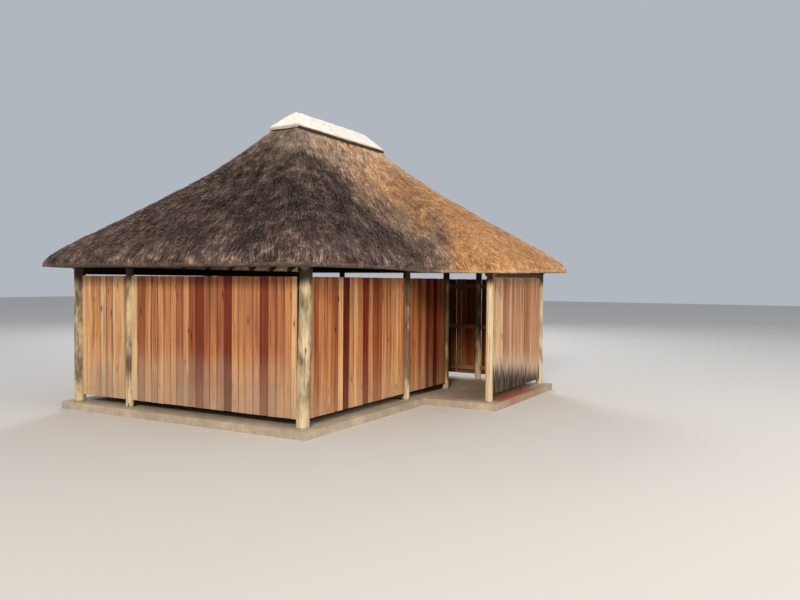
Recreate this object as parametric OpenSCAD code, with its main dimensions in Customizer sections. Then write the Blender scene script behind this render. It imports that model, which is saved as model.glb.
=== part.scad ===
// Thatched timber hut on a concrete floor slab, in millimetres.
// Walls of upright boards hang between peeled gum poles, clear of the slab, and a hipped
// thatch roof with a cement ridge cap covers the room and a passage behind a privacy screen.
// X runs along the front wall, Y from the screen to the back wall, Z up. The origin is on the
// ground under the middle of the roof.

/* [Plan] */
// Front wall, centre to centre of its end posts
front_len = 5090; // [4600:10:5600]
// Room depth, front wall to back wall, centre to centre
room_depth = 3835; // [3500:10:4200]
// Passage, front wall to privacy screen, centre to centre
passage_depth = 1105; // [1000:5:1250]
// First post of the front wall, from the near corner post
front_bay = 2470; // [2200:10:2700]
// Door post, from the near corner post
door_post_at = 3790; // [3500:10:4000]
// Outer post of the privacy screen, from the near corner post
screen_start = 2900; // [2750:10:3100]
// Middle post of the side walls, from the front wall
side_bay = 2840; // [2400:10:3000]

/* [Floor] */
// Thickness of the concrete slab
slab_t = 100; // [80:5:150]
// Slab edge beyond the post lines
slab_out = 170; // [120:10:220]

/* [Walls] */
// Radius of the corner posts
corner_post_r = 80; // [70:1:95]
// Radius of the posts between the corners
mid_post_r = 55; // [45:1:65]
// Height of the boards' lower ends above the slab
board_gap = 95; // [60:5:140]
// Height of the boards' upper ends above the slab
board_top = 1745; // [1640:1:1755]
// Height of the screen boards' upper ends above the slab
screen_top = 1760; // [1640:1:1760]
// Thickness of the wall boards
board_t = 22; // [18:1:28]
// Depth of the rails behind the boards
rail_t = 45; // [35:1:55]
// Height of each rail
rail_h = 70; // [55:1:90]

/* [Roof frame] */
// Radius of the wall plates
plate_r = 55; // [45:1:62]
// Radius of the common rafters
rafter_r = 45; // [38:1:50]
// Radius of the hip and valley rafters
hip_r = 50; // [42:1:55]
// Radius of the ridge pole
ridge_pole_r = 60; // [50:1:70]
// Radius of the collar ties
collar_r = 40; // [32:1:48]
// Height of the collar ties above the slab
collar_z = 3150; // [3100:10:3250]
// Spacing of the common rafters, evened out along each wall
rafter_pitch = 560; // [450:10:800]
// Outermost rafters inside the corner posts
rafter_inset = 300; // [220:10:360]
// Rafter tails beyond the front wall's and the side walls' post lines
long_tail = 150; // [100:5:200]
// Rafter tails beyond the screen's and the back wall's post lines
short_tail = 60; // [55:5:100]
// Upright thickness of the thatching laths
lath_t = 32; // [24:1:40]
// Width of the thatching laths
lath_w = 34; // [25:1:45]
// Rows of laths up each slope
lath_rows = 8; // [6:1:10]

/* [Thatch] */
// Eave beyond the side walls
side_eave = 500; // [420:10:520]
// Eave beyond the front wall, left of the step
front_eave = 500; // [420:10:560]
// Eave beyond the screen and beyond the back wall
end_eave = 445; // [410:5:500]
// Eave beyond the screen's outer post
step_eave = 350; // [300:10:400]
// Half length of the thatched ridge
ridge_half = 890; // [800:10:920]
// Peak of the thatch's underside above the slab
ceiling_top = 3720; // [3650:10:3760]
// Depth of the thatch over that peak
thatch_depth = 310; // [250:10:400]
// Underside of the eave above the slab
eave_z = 1850; // [1820:5:1900]
// Height of the cut end of the thatch at the eave
eave_end = 115; // [80:5:150]
// Depth of the flat underside cut at the eave
eave_cut = 200; // [150:5:240]
// Hollow of the slopes, deepest at a third of the way down
hollow = 85; // [0:5:100]
// How far the eave droops at the step
droop = 42; // [0:1:60]
// Corner radius of the eaves
corner_r = 450; // [350:10:550]
// Radius of the inner and outer bends of the step
step_r = 320; // [260:10:360]

/* [Ridge cap] */
// Half length of the cap's peak
cap_half = 874; // [820:1:950]
// Peak of the cap above the peak of the thatch
cap_rise = 77; // [60:1:200]
// Cap beyond the thatched ridge at each end
cap_end = 300; // [260:5:340]
// Half width of the cap's foot
cap_foot = 252; // [220:1:300]
// Foot of the cap below the peak of the thatch
cap_drop = 240; // [210:5:270]
// Height of the cap's upright edge
cap_edge = 50; // [35:1:70]

/* [Hidden] */
$fn = 32;

// Small clearance between pieces that only rest on each other
fit = 0.5;
// Rafters sink this far into the plates that carry them
seat = 6;

// Posts and eaves are placed from the middle of the roof.
half_x = front_len / 2 + side_eave;
half_y = (room_depth + passage_depth) / 2 + end_eave;
left_x = -front_len / 2;
right_x = front_len / 2;
back_y = half_y - end_eave;
front_y = back_y - room_depth;
screen_y = front_y - passage_depth;
middle_x = left_x + front_bay;
door_x = left_x + door_post_at;
screen_x = left_x + screen_start;
side_y = front_y + side_bay;
notch_y = front_y - front_eave;
step_x = screen_x - step_eave;

// Peak of the thatch, and the cap's peak and foot, above the slab
thatch_top = ceiling_top + thatch_depth;
cap_top = thatch_top + cap_rise;
cap_z = thatch_top - cap_drop;

// Rise of the thatch's underside, from the eave to its peak
rise = ceiling_top - eave_z;
side_run = half_x - ridge_half - eave_cut;
end_run = half_y - eave_cut;
notch_run = -notch_y - eave_cut;

// Length of a slope against its run, for pieces that lie under it
function stretch(run) = sqrt(1 + pow(rise / run, 2));
side_k = stretch(side_run);
end_k = stretch(end_run);
notch_k = stretch(notch_run);

// Height of the underside of a slope, at a distance from the ridge or the ridge's end
function ceiling(run, d) = ceiling_top - rise * d / run;
// Height of a rafter's axis and of a plate's axis under that slope
function rafter_axis(run, k, d) = ceiling(run, d) - fit - lath_t - rafter_r * k;
function plate_axis(run, k, d) = rafter_axis(run, k, d) - (rafter_r + plate_r) * k + seat;

side_plate_z = plate_axis(side_run, side_k, front_len / 2 - ridge_half);
front_plate_z = plate_axis(notch_run, notch_k, -front_y);
end_plate_z = plate_axis(end_run, end_k, back_y);
ridge_pole_z = ceiling_top - lath_t - ridge_pole_r * end_k;

// Draws a pole between two points.
module pole(a, b, r) {
    v = b - a;
    translate(a)
        rotate([0, acos(v[2] / norm(v)), atan2(v[1], v[0])])
            cylinder(h = norm(v), r = r);
}

// Raises to the top of the slab, from where every height is measured.
module on_slab() {
    translate([0, 0, slab_t]) children();
}

// The floor follows the walls, with the corner left of the screen cut back.
module floor_slab() {
    x0 = left_x - slab_out;
    x1 = right_x + slab_out;
    color("tan")
        linear_extrude(slab_t)
            polygon([
                [x0, front_y - slab_out], [screen_x - slab_out, front_y - slab_out],
                [screen_x - slab_out, screen_y - slab_out], [x1, screen_y - slab_out],
                [x1, back_y + slab_out], [x0, back_y + slab_out]
            ]);
}

module post(x, y, r, top) {
    on_slab() color("wheat") translate([x, y, 0]) cylinder(h = top, r = r);
}

side_post_top = side_plate_z - plate_r;
module front_left_post() { post(left_x, front_y, corner_post_r, side_post_top); }
module front_middle_post() { post(middle_x, front_y, mid_post_r, front_plate_z - plate_r); }
module door_post() { post(door_x, front_y, mid_post_r, front_plate_z - plate_r); }
module front_right_post() { post(right_x, front_y, mid_post_r, side_post_top); }
module screen_outer_post() { post(screen_x, screen_y, mid_post_r, end_plate_z - plate_r); }
module screen_corner_post() { post(right_x, screen_y, mid_post_r, side_post_top); }
module left_middle_post() { post(left_x, side_y, mid_post_r, side_post_top); }
module right_middle_post() { post(right_x, side_y, mid_post_r, side_post_top); }
module back_left_post() { post(left_x, back_y, corner_post_r, side_post_top); }
module back_middle_post() { post(0, back_y, mid_post_r, end_plate_z - plate_r); }
module back_right_post() { post(right_x, back_y, corner_post_r, side_post_top); }

// Cuts away the room that every post takes.
module clear_of_posts() {
    cut_h = max(board_top, screen_top);
    difference() {
        children();
        for (x = [left_x, right_x]) translate([x, back_y, 0]) cylinder(h = cut_h, r = corner_post_r);
        translate([left_x, front_y, 0]) cylinder(h = cut_h, r = corner_post_r);
        for (p = [
            [middle_x, front_y], [door_x, front_y], [right_x, front_y], [screen_x, screen_y],
            [right_x, screen_y], [left_x, side_y], [right_x, side_y], [0, back_y]
        ])
            translate([p[0], p[1], 0]) cylinder(h = cut_h, r = mid_post_r);
    }
}

// A length of boarding along X between two posts, its outer face towards -Y.
module boarding(length, top) {
    translate([0, -board_t, board_gap]) cube([length, board_t, top - board_gap]);
}

// Rails start clear of the rails that come round a corner post.
rail_levels = [board_gap + 110, (board_gap + board_top) / 2, board_top - 130];
rail_end = rail_t + fit;
module rails(length) {
    for (z = rail_levels)
        translate([rail_end, 0, z - rail_h / 2]) cube([length - 2 * rail_end, rail_t, rail_h]);
}

// Puts boards or rails along a wall: where it starts, which way it runs, how far and how high.
module along(start, turn, length, what, top = board_top) {
    translate([start[0], start[1], 0]) rotate([0, 0, turn]) {
        if (what == "boards") boarding(length, top);
        else rails(length);
    }
}

module front_wall(what) {
    clear_of_posts() {
        along([left_x, front_y], 0, front_bay, what);
        along([middle_x, front_y], 0, door_post_at - front_bay, what);
    }
}
module left_wall(what) {
    clear_of_posts() {
        along([left_x, back_y], -90, room_depth - side_bay, what);
        along([left_x, side_y], -90, side_bay, what);
    }
}
module right_wall(what) {
    clear_of_posts() {
        along([right_x, screen_y], 90, passage_depth, what);
        along([right_x, front_y], 90, side_bay, what);
        along([right_x, side_y], 90, room_depth - side_bay, what);
    }
}
module back_wall(what) {
    clear_of_posts() {
        along([right_x, back_y], 180, front_len / 2, what);
        along([0, back_y], 180, front_len / 2, what);
    }
}
module screen_wall(what) {
    clear_of_posts() along([screen_x, screen_y], 0, front_len - screen_start, what, screen_top);
}

module front_boards() { on_slab() color("chocolate") front_wall("boards"); }
module left_boards() { on_slab() color("chocolate") left_wall("boards"); }
module right_boards() { on_slab() color("chocolate") right_wall("boards"); }
module back_boards() { on_slab() color("chocolate") back_wall("boards"); }
module screen_boards() { on_slab() color("chocolate") screen_wall("boards"); }
module front_rails() { on_slab() color("peru") front_wall("rails"); }
module left_rails() { on_slab() color("peru") left_wall("rails"); }
module right_rails() { on_slab() color("peru") right_wall("rails"); }
module back_rails() { on_slab() color("peru") back_wall("rails"); }
module screen_rails() { on_slab() color("peru") screen_wall("rails"); }

// Wall plates lie on the post tops. The side plates run past the corners, and the front, back and
// screen plates are butted between the corner posts.
plate_tail = 20;
module side_plate(x, y0) {
    color("burlywood")
        pole([x, y0 - plate_tail, side_plate_z], [x, back_y + plate_tail, side_plate_z], plate_r);
}
module left_plate() { on_slab() side_plate(left_x, front_y); }
module right_plate() { on_slab() side_plate(right_x, screen_y); }
module end_plate(x0, x1, y, z) {
    on_slab() color("burlywood") pole([x0, y, z], [x1, y, z], plate_r);
}
module front_plate() {
    end_plate(left_x + corner_post_r, right_x - mid_post_r, front_y, front_plate_z);
}
module back_plate() {
    end_plate(left_x + corner_post_r, right_x - corner_post_r, back_y, end_plate_z);
}
// The screen's plate starts past its outer post, still under the eave's flat cut.
plate_start = 60;
module screen_plate() {
    end_plate(screen_x - plate_start, right_x - mid_post_r, screen_y, end_plate_z);
}

module ridge_pole() {
    on_slab() color("burlywood")
        pole([-ridge_half, 0, ridge_pole_z], [ridge_half, 0, ridge_pole_z], ridge_pole_r);
}

// Corners of the eave: centre, radius, and 1 for an outward bend or -1 for the inward one.
back_left = [[-half_x + corner_r, half_y - corner_r], corner_r, 1];
front_left = [[-half_x + corner_r, notch_y + corner_r], corner_r, 1];
step_in = [[step_x - step_r, notch_y - step_r], step_r, -1];
step_out = [[step_x + step_r, -half_y + step_r], step_r, 1];
front_right = [[half_x - corner_r, -half_y + corner_r], corner_r, 1];
back_right = [[half_x - corner_r, half_y - corner_r], corner_r, 1];

// A point of the eave at an angle round a corner, set in from the edge.
function eave_point(corner, a, inset) =
    corner[0] + (corner[1] - corner[2] * inset) * [cos(a), sin(a)];
// The bearing of a corner's centre from an end of the ridge, where two slopes meet.
function bearing(corner, end_x) =
    let (a = atan2(corner[0][1], corner[0][0] - end_x)) a < 0 ? a + 360 : a;

// Slopes as lists of [corner, angle, end of the ridge]
function bend(corner, a0, a1, end_x, steps = 5) =
    [for (i = [0:steps]) [corner, a0 + (a1 - a0) * i / steps, end_x]];
valley = bearing(step_in, ridge_half) - 180;
slope_left = concat(
    bend(back_left, bearing(back_left, -ridge_half), 180, -ridge_half),
    bend(front_left, 180, bearing(front_left, -ridge_half), -ridge_half));
slope_front_left = concat(
    bend(front_left, bearing(front_left, -ridge_half), 270, -ridge_half),
    bend(step_in, 90, valley, ridge_half, 3));
slope_front_right = concat(
    bend(step_in, valley, 0, ridge_half, 4),
    bend(step_out, 180, 270, ridge_half, 8),
    bend(front_right, 270, bearing(front_right, ridge_half), ridge_half));
slope_right = concat(
    bend(front_right, bearing(front_right, ridge_half), 360, ridge_half),
    bend(back_right, 0, bearing(back_right, ridge_half), ridge_half));
slope_back = concat(
    bend(back_right, bearing(back_right, ridge_half), 90, ridge_half),
    bend(back_left, 90, bearing(back_left, -ridge_half), -ridge_half));

// How far down the slope the thatch starts, close to the ridge line
t_start = 0.01;
// The droop of the eave, strongest in front of the step and faded out up the slope
droop_reach = 1400;
function sag(p, t) = p[1] < 0 ? droop * exp(-pow((p[0] - step_x) / droop_reach, 2)) * pow(t, 6) : 0;
// Where a slope's line from the ridge comes out from under the cap
function cap_exit(e) = min(cap_foot / abs(e[1]), cap_end / max(abs(e[0]) - ridge_half, 1));
// Outer surface of the thatch: straight under the cap, hollow from there to the eave, t of the
// way from the ridge.
function outer_z(e, t) =
    let (t0 = cap_exit(e), f = (t - t0) / (1 - t0))
    f < 0 ? thatch_top + (cap_z - thatch_top) * t / t0
        : cap_z + (eave_z + eave_end - cap_z) * f - hollow * 6.75 * f * pow(1 - f, 2);
function outer(s, t) =
    let (e = eave_point(s[0], s[1], 0), r = [s[2], 0], p = r + (e - r) * t)
    [p[0], p[1], outer_z(e, t) - sag(e, t)];
// Underside of the thatch, t of the way from the ridge to the flat cut.
function inner(s, t) =
    let (e = eave_point(s[0], s[1], eave_cut), r = [s[2], 0], p = r + (e - r) * t)
    [p[0], p[1], ceiling_top - rise * t];
lip_in = 20;
function lip(s) =
    let (p = eave_point(s[0], s[1], lip_in)) [p[0], p[1], eave_z - sag(p, 1)];

outer_rows = [0, 0.1, 0.2, 0.33, 0.48, 0.64, 0.8, 0.92, 1];
function below_cap(s) =
    let (t0 = cap_exit(eave_point(s[0], s[1], 0))) [for (f = outer_rows) t0 + (1 - t0) * f];
inner_rows = [for (i = [lath_rows:-1:0]) t_start + (1 - t_start) * i / lath_rows];
function section(s) = concat(
    [outer(s, t_start)], [for (t = below_cap(s)) outer(s, t)], [lip(s)],
    [for (t = inner_rows) inner(s, t)]);

// Lofts a closed solid through sections that all have as many points.
module loft(sections) {
    n = len(sections[0]);
    m = len(sections);
    polyhedron(
        points = [for (s = sections) each s],
        faces = concat(
            [for (i = [0:m - 2]) for (j = [0:n - 1]) let (k = (j + 1) % n)
                each [[i * n + j, i * n + k, (i + 1) * n + k],
                      [i * n + j, (i + 1) * n + k, (i + 1) * n + j]]],
            [[for (j = [n - 1:-1:0]) j]],
            [[for (j = [0:n - 1]) (m - 1) * n + j]]),
        convexity = 6);
}
module thatch(slope) {
    on_slab() color("sienna") loft([for (s = slope) section(s)]);
}
module left_thatch() { thatch(slope_left); }
module front_left_thatch() { thatch(slope_front_left); }
module front_right_thatch() { thatch(slope_front_right); }
module right_thatch() { thatch(slope_right); }
module back_thatch() { thatch(slope_back); }

// A lath follows one row of the underside, from hip to hip.
module lath(slope, t) {
    half = lath_w / 2;
    loft([for (s = slope)
        let (e = eave_point(s[0], s[1], eave_cut), dt = half / norm(e - [s[2], 0]),
            a = inner(s, t - dt), b = inner(s, t + dt))
        [a - [0, 0, fit], b - [0, 0, fit], b - [0, 0, lath_t], a - [0, 0, lath_t]]]);
}
module laths(slope) {
    for (i = [1:lath_rows - 1])
        lath(slope, t_start + (1 - t_start) * i / lath_rows);
}
module left_laths() { on_slab() color("tan") laths(slope_left); }
module front_left_laths() { on_slab() color("tan") laths(slope_front_left); }
module front_right_laths() { on_slab() color("tan") laths(slope_front_right); }
module right_laths() { on_slab() color("tan") laths(slope_right); }
module back_laths() { on_slab() color("tan") laths(slope_back); }

// Even places from 0 to the rafter nearest a wall, about the rafter pitch apart
function spread(wall) =
    let (last = wall - rafter_inset, n = max(1, round(last / rafter_pitch)))
    [for (i = [0:n]) last * i / n];
// Places of the rafters, worked out from the middle of the roof to the walls on either side
function both_ways(near, far) = concat([for (p = spread(near)) if (p > 0) -p], spread(far));
rafter_xs = both_ways(right_x, right_x);
left_rafter_ys = both_ways(-front_y, back_y);
right_rafter_ys = both_ways(-screen_y, back_y);
// Run of the valley along Y for each unit along X
valley_ratio = abs(step_in[0][1]) / (ridge_half - step_in[0][0]);
// Jack rafters stop this far short of the middle of the hip they lean on.
jack_gap = 30;
// Least distance along the ridge from the valley rafter's head to a jack rafter
valley_jack = 250;

// Where the line of a hip or valley reaches the flat cut of the eave
function hip_foot(corner, end_x) =
    let (a = bearing(corner, end_x))
    corner[0] + (corner[1] - corner[2] * eave_cut) * corner[2] * [cos(a), sin(a)];
// Head of a jack rafter on a hip, d from the ridge's end along X (axis 0) or along Y (axis 1)
function jack_head(corner, end_x, axis, d, run, k) =
    let (f = hip_foot(corner, end_x) - [end_x, 0], t = d / abs(f[axis]),
         q = f * t + jack_gap * (axis == 0 ? [0, sign(f[1])] : [sign(f[0]), 0]))
    [end_x + q[0], q[1], rafter_axis(run, k, t * run + jack_gap)];
// Places on the axis of a rafter in the planes of the end slopes and of the side slopes
function end_place(x, y, run, k) = [x, y, rafter_axis(run, k, abs(y))];
function side_place(x, y) = [x, y, rafter_axis(side_run, side_k, abs(x) - ridge_half)];

// A hip or valley rafter, from near the end of the ridge to just past the post or plate under it.
hip_end = 0.94;
valley_end = 0.86;
module hip_rafter(corner, end_x, from, k, till = hip_end) {
    r = [end_x, 0];
    e = hip_foot(corner, end_x);
    drop = fit + lath_t + hip_r * k;
    p0 = r + (e - r) * from;
    p1 = r + (e - r) * till;
    pole([p0[0], p0[1], ceiling_top - rise * from - drop],
         [p1[0], p1[1], ceiling_top - rise * till - drop], hip_r);
}
module hips() {
    step_k = stretch(ridge_half - step_x - eave_cut / 2);
    hip_rafter(back_left, -ridge_half, 0.05, side_k);
    hip_rafter(front_left, -ridge_half, 0.05, notch_k);
    hip_rafter(back_right, ridge_half, 0.05, side_k);
    hip_rafter(front_right, ridge_half, 0.05, side_k);
    hip_rafter(step_in, ridge_half, 0.12, step_k, valley_end);
    hip_rafter(step_out, ridge_half, 0.32, step_k);
}
// What the rafters bear on.
module bearers() {
    left_plate();
    right_plate();
    front_plate();
    back_plate();
    screen_plate();
    ridge_pole();
}
// Room under the hip and valley rafters for the plates and the posts, a little larger than they are.
module hip_seats() {
    past = 2 * corner_post_r;
    for (x = [left_x, right_x])
        pole([x, screen_y - past, side_plate_z], [x, back_y + past, side_plate_z], plate_r + fit);
    for (p = [[front_y, front_plate_z], [back_y, end_plate_z], [screen_y, end_plate_z]])
        pole([left_x, p[0], p[1]], [right_x, p[0], p[1]], plate_r + fit);
    for (p = [[left_x, front_y], [left_x, back_y], [right_x, back_y]])
        translate([p[0], p[1], 0]) cylinder(h = side_post_top + fit, r = corner_post_r + fit);
    for (p = [[right_x, screen_y, side_post_top], [screen_x, screen_y, end_plate_z - plate_r]])
        translate([p[0], p[1], 0]) cylinder(h = p[2] + fit, r = mid_post_r + fit);
}
module hip_rafters() {
    color("burlywood") on_slab() difference() {
        hips();
        hip_seats();
    }
}
// Rafters are notched over the plates and butted to the ridge pole and to the hips.
module notched() {
    color("burlywood") difference() {
        on_slab() children();
        bearers();
        on_slab() hips();
    }
}
module front_rafters() {
    notched() {
        for (x = rafter_xs) if (x < ridge_half - valley_jack) {
            head = x > -ridge_half ? end_place(x, -ridge_pole_r / 2, notch_run, notch_k)
                : jack_head(front_left, -ridge_half, 0, -x - ridge_half, notch_run, notch_k);
            foot = min((ridge_half - x) * valley_ratio - jack_gap, long_tail - front_y);
            pole(head, end_place(x, -foot, notch_run, notch_k), rafter_r);
        }
        for (x = rafter_xs) if (x > screen_x + mid_post_r + rafter_r) {
            head = jack_head(x < ridge_half ? step_out : front_right, ridge_half, 0,
                abs(x - ridge_half), end_run, end_k);
            pole(head, end_place(x, screen_y - short_tail, end_run, end_k), rafter_r);
        }
    }
}
module back_rafters() {
    notched()
        for (x = rafter_xs) {
            head = abs(x) < ridge_half ? end_place(x, ridge_pole_r / 2, end_run, end_k)
                : jack_head(x < 0 ? back_left : back_right, sign(x) * ridge_half, 0,
                    abs(x) - ridge_half, end_run, end_k);
            pole(head, end_place(x, back_y + short_tail, end_run, end_k), rafter_r);
        }
}
module left_rafters() {
    notched()
        for (y = left_rafter_ys) {
            head = jack_head(y < 0 ? front_left : back_left, -ridge_half, 1, abs(y), side_run, side_k);
            pole(head, side_place(left_x - long_tail, y), rafter_r);
        }
}
module right_rafters() {
    notched()
        for (y = right_rafter_ys) {
            head = jack_head(y < 0 ? front_right : back_right, ridge_half, 1, abs(y), side_run, side_k);
            pole(head, side_place(right_x + long_tail, y), rafter_r);
        }
}

// Collar ties stand beside rafter pairs and hold the slopes together.
module collar_ties() {
    room = (ceiling_top - collar_z - collar_r - 2 * lath_t) / rise;
    color("burlywood") on_slab()
        for (x = rafter_xs) if (abs(x) < ridge_half - valley_jack)
            let (beside = x + (x > 0 ? -1 : 1) * (rafter_r + collar_r))
            pole([beside, -room * notch_run, collar_z], [beside, room * end_run, collar_z], collar_r);
}

// A solid with a hipped top over an upright edge.
module hipped(half_l, half_w, z0, z1, half_ridge, top) {
    polyhedron(
        points = [
            for (z = [z0, z1]) each
                [[-half_l, -half_w, z], [half_l, -half_w, z], [half_l, half_w, z], [-half_l, half_w, z]],
            [-half_ridge, 0, top], [half_ridge, 0, top]
        ],
        faces = [
            [0, 1, 2, 3], [0, 4, 5, 1], [1, 5, 6, 2], [2, 6, 7, 3], [3, 7, 4, 0],
            [4, 8, 9, 5], [5, 9, 6], [6, 9, 8, 7], [7, 8, 4]
        ],
        convexity = 2);
}
module ridge_cap() {
    foot_l = ridge_half + cap_end;
    color("ivory") on_slab() difference() {
        hipped(foot_l, cap_foot, cap_z + fit, cap_z + cap_edge, cap_half, cap_top);
        hipped(foot_l, cap_foot, cap_z - 1, cap_z + fit, ridge_half, thatch_top + fit);
    }
}

floor_slab();
front_left_post();
front_middle_post();
door_post();
front_right_post();
screen_outer_post();
screen_corner_post();
left_middle_post();
right_middle_post();
back_left_post();
back_middle_post();
back_right_post();
front_boards();
left_boards();
right_boards();
back_boards();
screen_boards();
front_rails();
left_rails();
right_rails();
back_rails();
screen_rails();
front_plate();
left_plate();
right_plate();
back_plate();
screen_plate();
ridge_pole();
hip_rafters();
front_rafters();
left_rafters();
right_rafters();
back_rafters();
collar_ties();
front_left_laths();
front_right_laths();
left_laths();
right_laths();
back_laths();
front_left_thatch();
front_right_thatch();
left_thatch();
right_thatch();
back_thatch();
ridge_cap();
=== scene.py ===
"""Looks of the thatched timber hut: separate boards, peeled poles, combed thatch, cement ridge cap."""

import math
from collections import namedtuple
from itertools import product

import bpy
import numpy as np
from mathutils import Matrix, Vector


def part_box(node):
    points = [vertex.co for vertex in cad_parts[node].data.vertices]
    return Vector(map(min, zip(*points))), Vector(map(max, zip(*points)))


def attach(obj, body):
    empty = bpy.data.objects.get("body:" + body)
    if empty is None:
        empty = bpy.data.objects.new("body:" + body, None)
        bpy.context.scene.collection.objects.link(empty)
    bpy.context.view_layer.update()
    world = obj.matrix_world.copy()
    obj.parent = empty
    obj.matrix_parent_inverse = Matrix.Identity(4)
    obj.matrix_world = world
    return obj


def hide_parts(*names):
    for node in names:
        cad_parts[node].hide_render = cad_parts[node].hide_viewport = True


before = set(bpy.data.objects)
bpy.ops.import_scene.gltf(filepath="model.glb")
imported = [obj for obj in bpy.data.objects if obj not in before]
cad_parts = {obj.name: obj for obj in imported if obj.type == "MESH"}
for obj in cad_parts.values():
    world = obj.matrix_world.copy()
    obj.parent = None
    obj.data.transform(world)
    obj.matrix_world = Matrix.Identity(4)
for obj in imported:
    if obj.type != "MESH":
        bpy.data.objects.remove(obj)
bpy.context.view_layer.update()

# Walls and posts, in metres, where the source of the solids has them
SLAB = 0.100
LEFT_X, RIGHT_X = -2.545, 2.545
FRONT_Y, BACK_Y, SCREEN_Y = -1.365, 2.470, -2.470
MIDDLE_X, DOOR_X, SCREEN_X, SIDE_Y = -0.075, 1.245, 0.355, 1.475
CORNER_R, MID_R = 0.080, 0.055
BOARD_LOW, BOARD_TOP, SCREEN_TOP, BOARD_T = SLAB + 0.095, SLAB + 1.745, SLAB + 1.760, 0.022
RAIL_Z = (SLAB + 0.205, SLAB + 0.920, SLAB + 1.615)

# Thatch and ridge cap, where the source has them
HALF_X, HALF_Y, NOTCH_Y, STEP_X = 3.045, 2.915, -1.865, 0.005
CORNER_BEND, STEP_BEND = 0.450, 0.320
RIDGE_HALF = 0.890
THATCH_TOP, CEILING_TOP = SLAB + 4.030, SLAB + 3.720
EAVE_Z, EAVE_END, EAVE_CUT, LIP_IN = SLAB + 1.850, 0.115, 0.200, 0.020
HOLLOW, DROOP, DROOP_REACH = 0.085, 0.042, 1.400
CAP_HALF, CAP_TOP, CAP_END, CAP_FOOT = 0.874, SLAB + 4.107, 0.300, 0.252
CAP_Z, CAP_EDGE = SLAB + 3.790, 0.050


# Noise and mesh helpers
SCATTER = (374761393, 668265263, 2147483647, 1274126177)
LOW_BITS = 0xFFFFFF


def lattice(ix, iy, iz, seed):
    """A repeatable number from 0 to 1 for each whole-numbered point."""
    with np.errstate(over="ignore"):
        h = (ix.astype(np.int64) * SCATTER[0] + iy.astype(np.int64) * SCATTER[1]
             + iz.astype(np.int64) * SCATTER[2] + seed * SCATTER[3])
        h = (h ^ (h >> 13)) * SCATTER[3]
        h = h ^ (h >> 16)
    return (h & LOW_BITS) / float(LOW_BITS)


def noise(x, y=0.0, z=0.0, seed=0):
    """Smooth value noise from -1 to 1."""
    places = np.broadcast_arrays(np.asarray(x, float), np.asarray(y, float), np.asarray(z, float))
    cell = [np.floor(v) for v in places]
    part = [v - c for v, c in zip(places, cell)]
    part = [p * p * (3 - 2 * p) for p in part]
    total = 0.0
    for dx, dy, dz in product((0, 1), repeat=3):
        weight = ((part[0] if dx else 1 - part[0]) * (part[1] if dy else 1 - part[1])
                  * (part[2] if dz else 1 - part[2]))
        total = total + weight * lattice(cell[0] + dx, cell[1] + dy, cell[2] + dz, seed)
    return total * 2 - 1


def lumps(x, y, z, scale, seed):
    """Noise with the same scale in every direction."""
    return noise(x * scale, y * scale, z * scale, seed)


def smooth(x, a, b):
    """Rises softly from 0 at a to 1 at b."""
    t = np.clip((x - a) / (b - a), 0, 1)
    return t * t * (3 - 2 * t)


def blend(a, b, share):
    return a * (1 - share) + b * share


def raised(plan, height):
    """Points from their places in plan and their heights."""
    return np.concatenate([plan, height[..., None]], -1)


def unit(vectors):
    return vectors / np.maximum(np.linalg.norm(vectors, axis=-1, keepdims=True), 1e-9)


def travel(points):
    """Distance from the first point to each point, along the line."""
    return np.concatenate([[0], np.cumsum(np.linalg.norm(np.diff(points, axis=0), axis=1))])


def tube_faces(rings, sides):
    """Faces of a closed tube of so many rings of points, with flat ends."""
    i, j = np.meshgrid(np.arange(rings - 1), np.arange(sides), indexing="ij")
    after = (j + 1) % sides
    quads = np.stack([i * sides + j, i * sides + after, (i + 1) * sides + after, (i + 1) * sides + j], -1)
    return list(quads.reshape(-1, 4)) + [np.arange(sides)[::-1], (rings - 1) * sides + np.arange(sides)]


def put(name, data):
    """A new object in the scene."""
    obj = bpy.data.objects.new(name, data)
    bpy.context.scene.collection.objects.link(obj)
    return obj


def make_mesh(name, verts, faces, material, shade_smooth=True, attributes=()):
    """A mesh object from points and a list of polygons, or an array of polygons of one size."""
    mesh = bpy.data.meshes.new(name)
    verts = np.asarray(verts, np.float32)
    if isinstance(faces, list):
        flat = [np.asarray(f, np.int32).ravel() for f in faces]
        sizes = np.array([len(f) for f in flat], np.int32)
    else:
        flat = [faces.ravel()]
        sizes = np.full(len(faces), faces.shape[1], np.int32)
    loops = np.concatenate(flat).astype(np.int32)
    starts = np.concatenate([[0], np.cumsum(sizes)[:-1]]).astype(np.int32)
    mesh.vertices.add(len(verts))
    mesh.vertices.foreach_set("co", verts.ravel())
    mesh.loops.add(len(loops))
    mesh.loops.foreach_set("vertex_index", loops)
    mesh.polygons.add(len(sizes))
    mesh.polygons.foreach_set("loop_start", starts)
    mesh.update(calc_edges=True)
    for key, values in attributes:
        layer = mesh.attributes.new(key, "FLOAT_VECTOR", "POINT")
        layer.data.foreach_set("vector", np.asarray(values, np.float32).ravel())
    mesh.polygons.foreach_set("use_smooth", np.full(len(sizes), shade_smooth))
    mesh.validate()
    mesh.materials.append(material)
    return put(name, mesh)


def settle(obj, slot, *nodes):
    """The piece rides on the hut and stands for the nodes. slot is not used."""
    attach(obj, "root")
    if nodes:
        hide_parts(*nodes)


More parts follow.
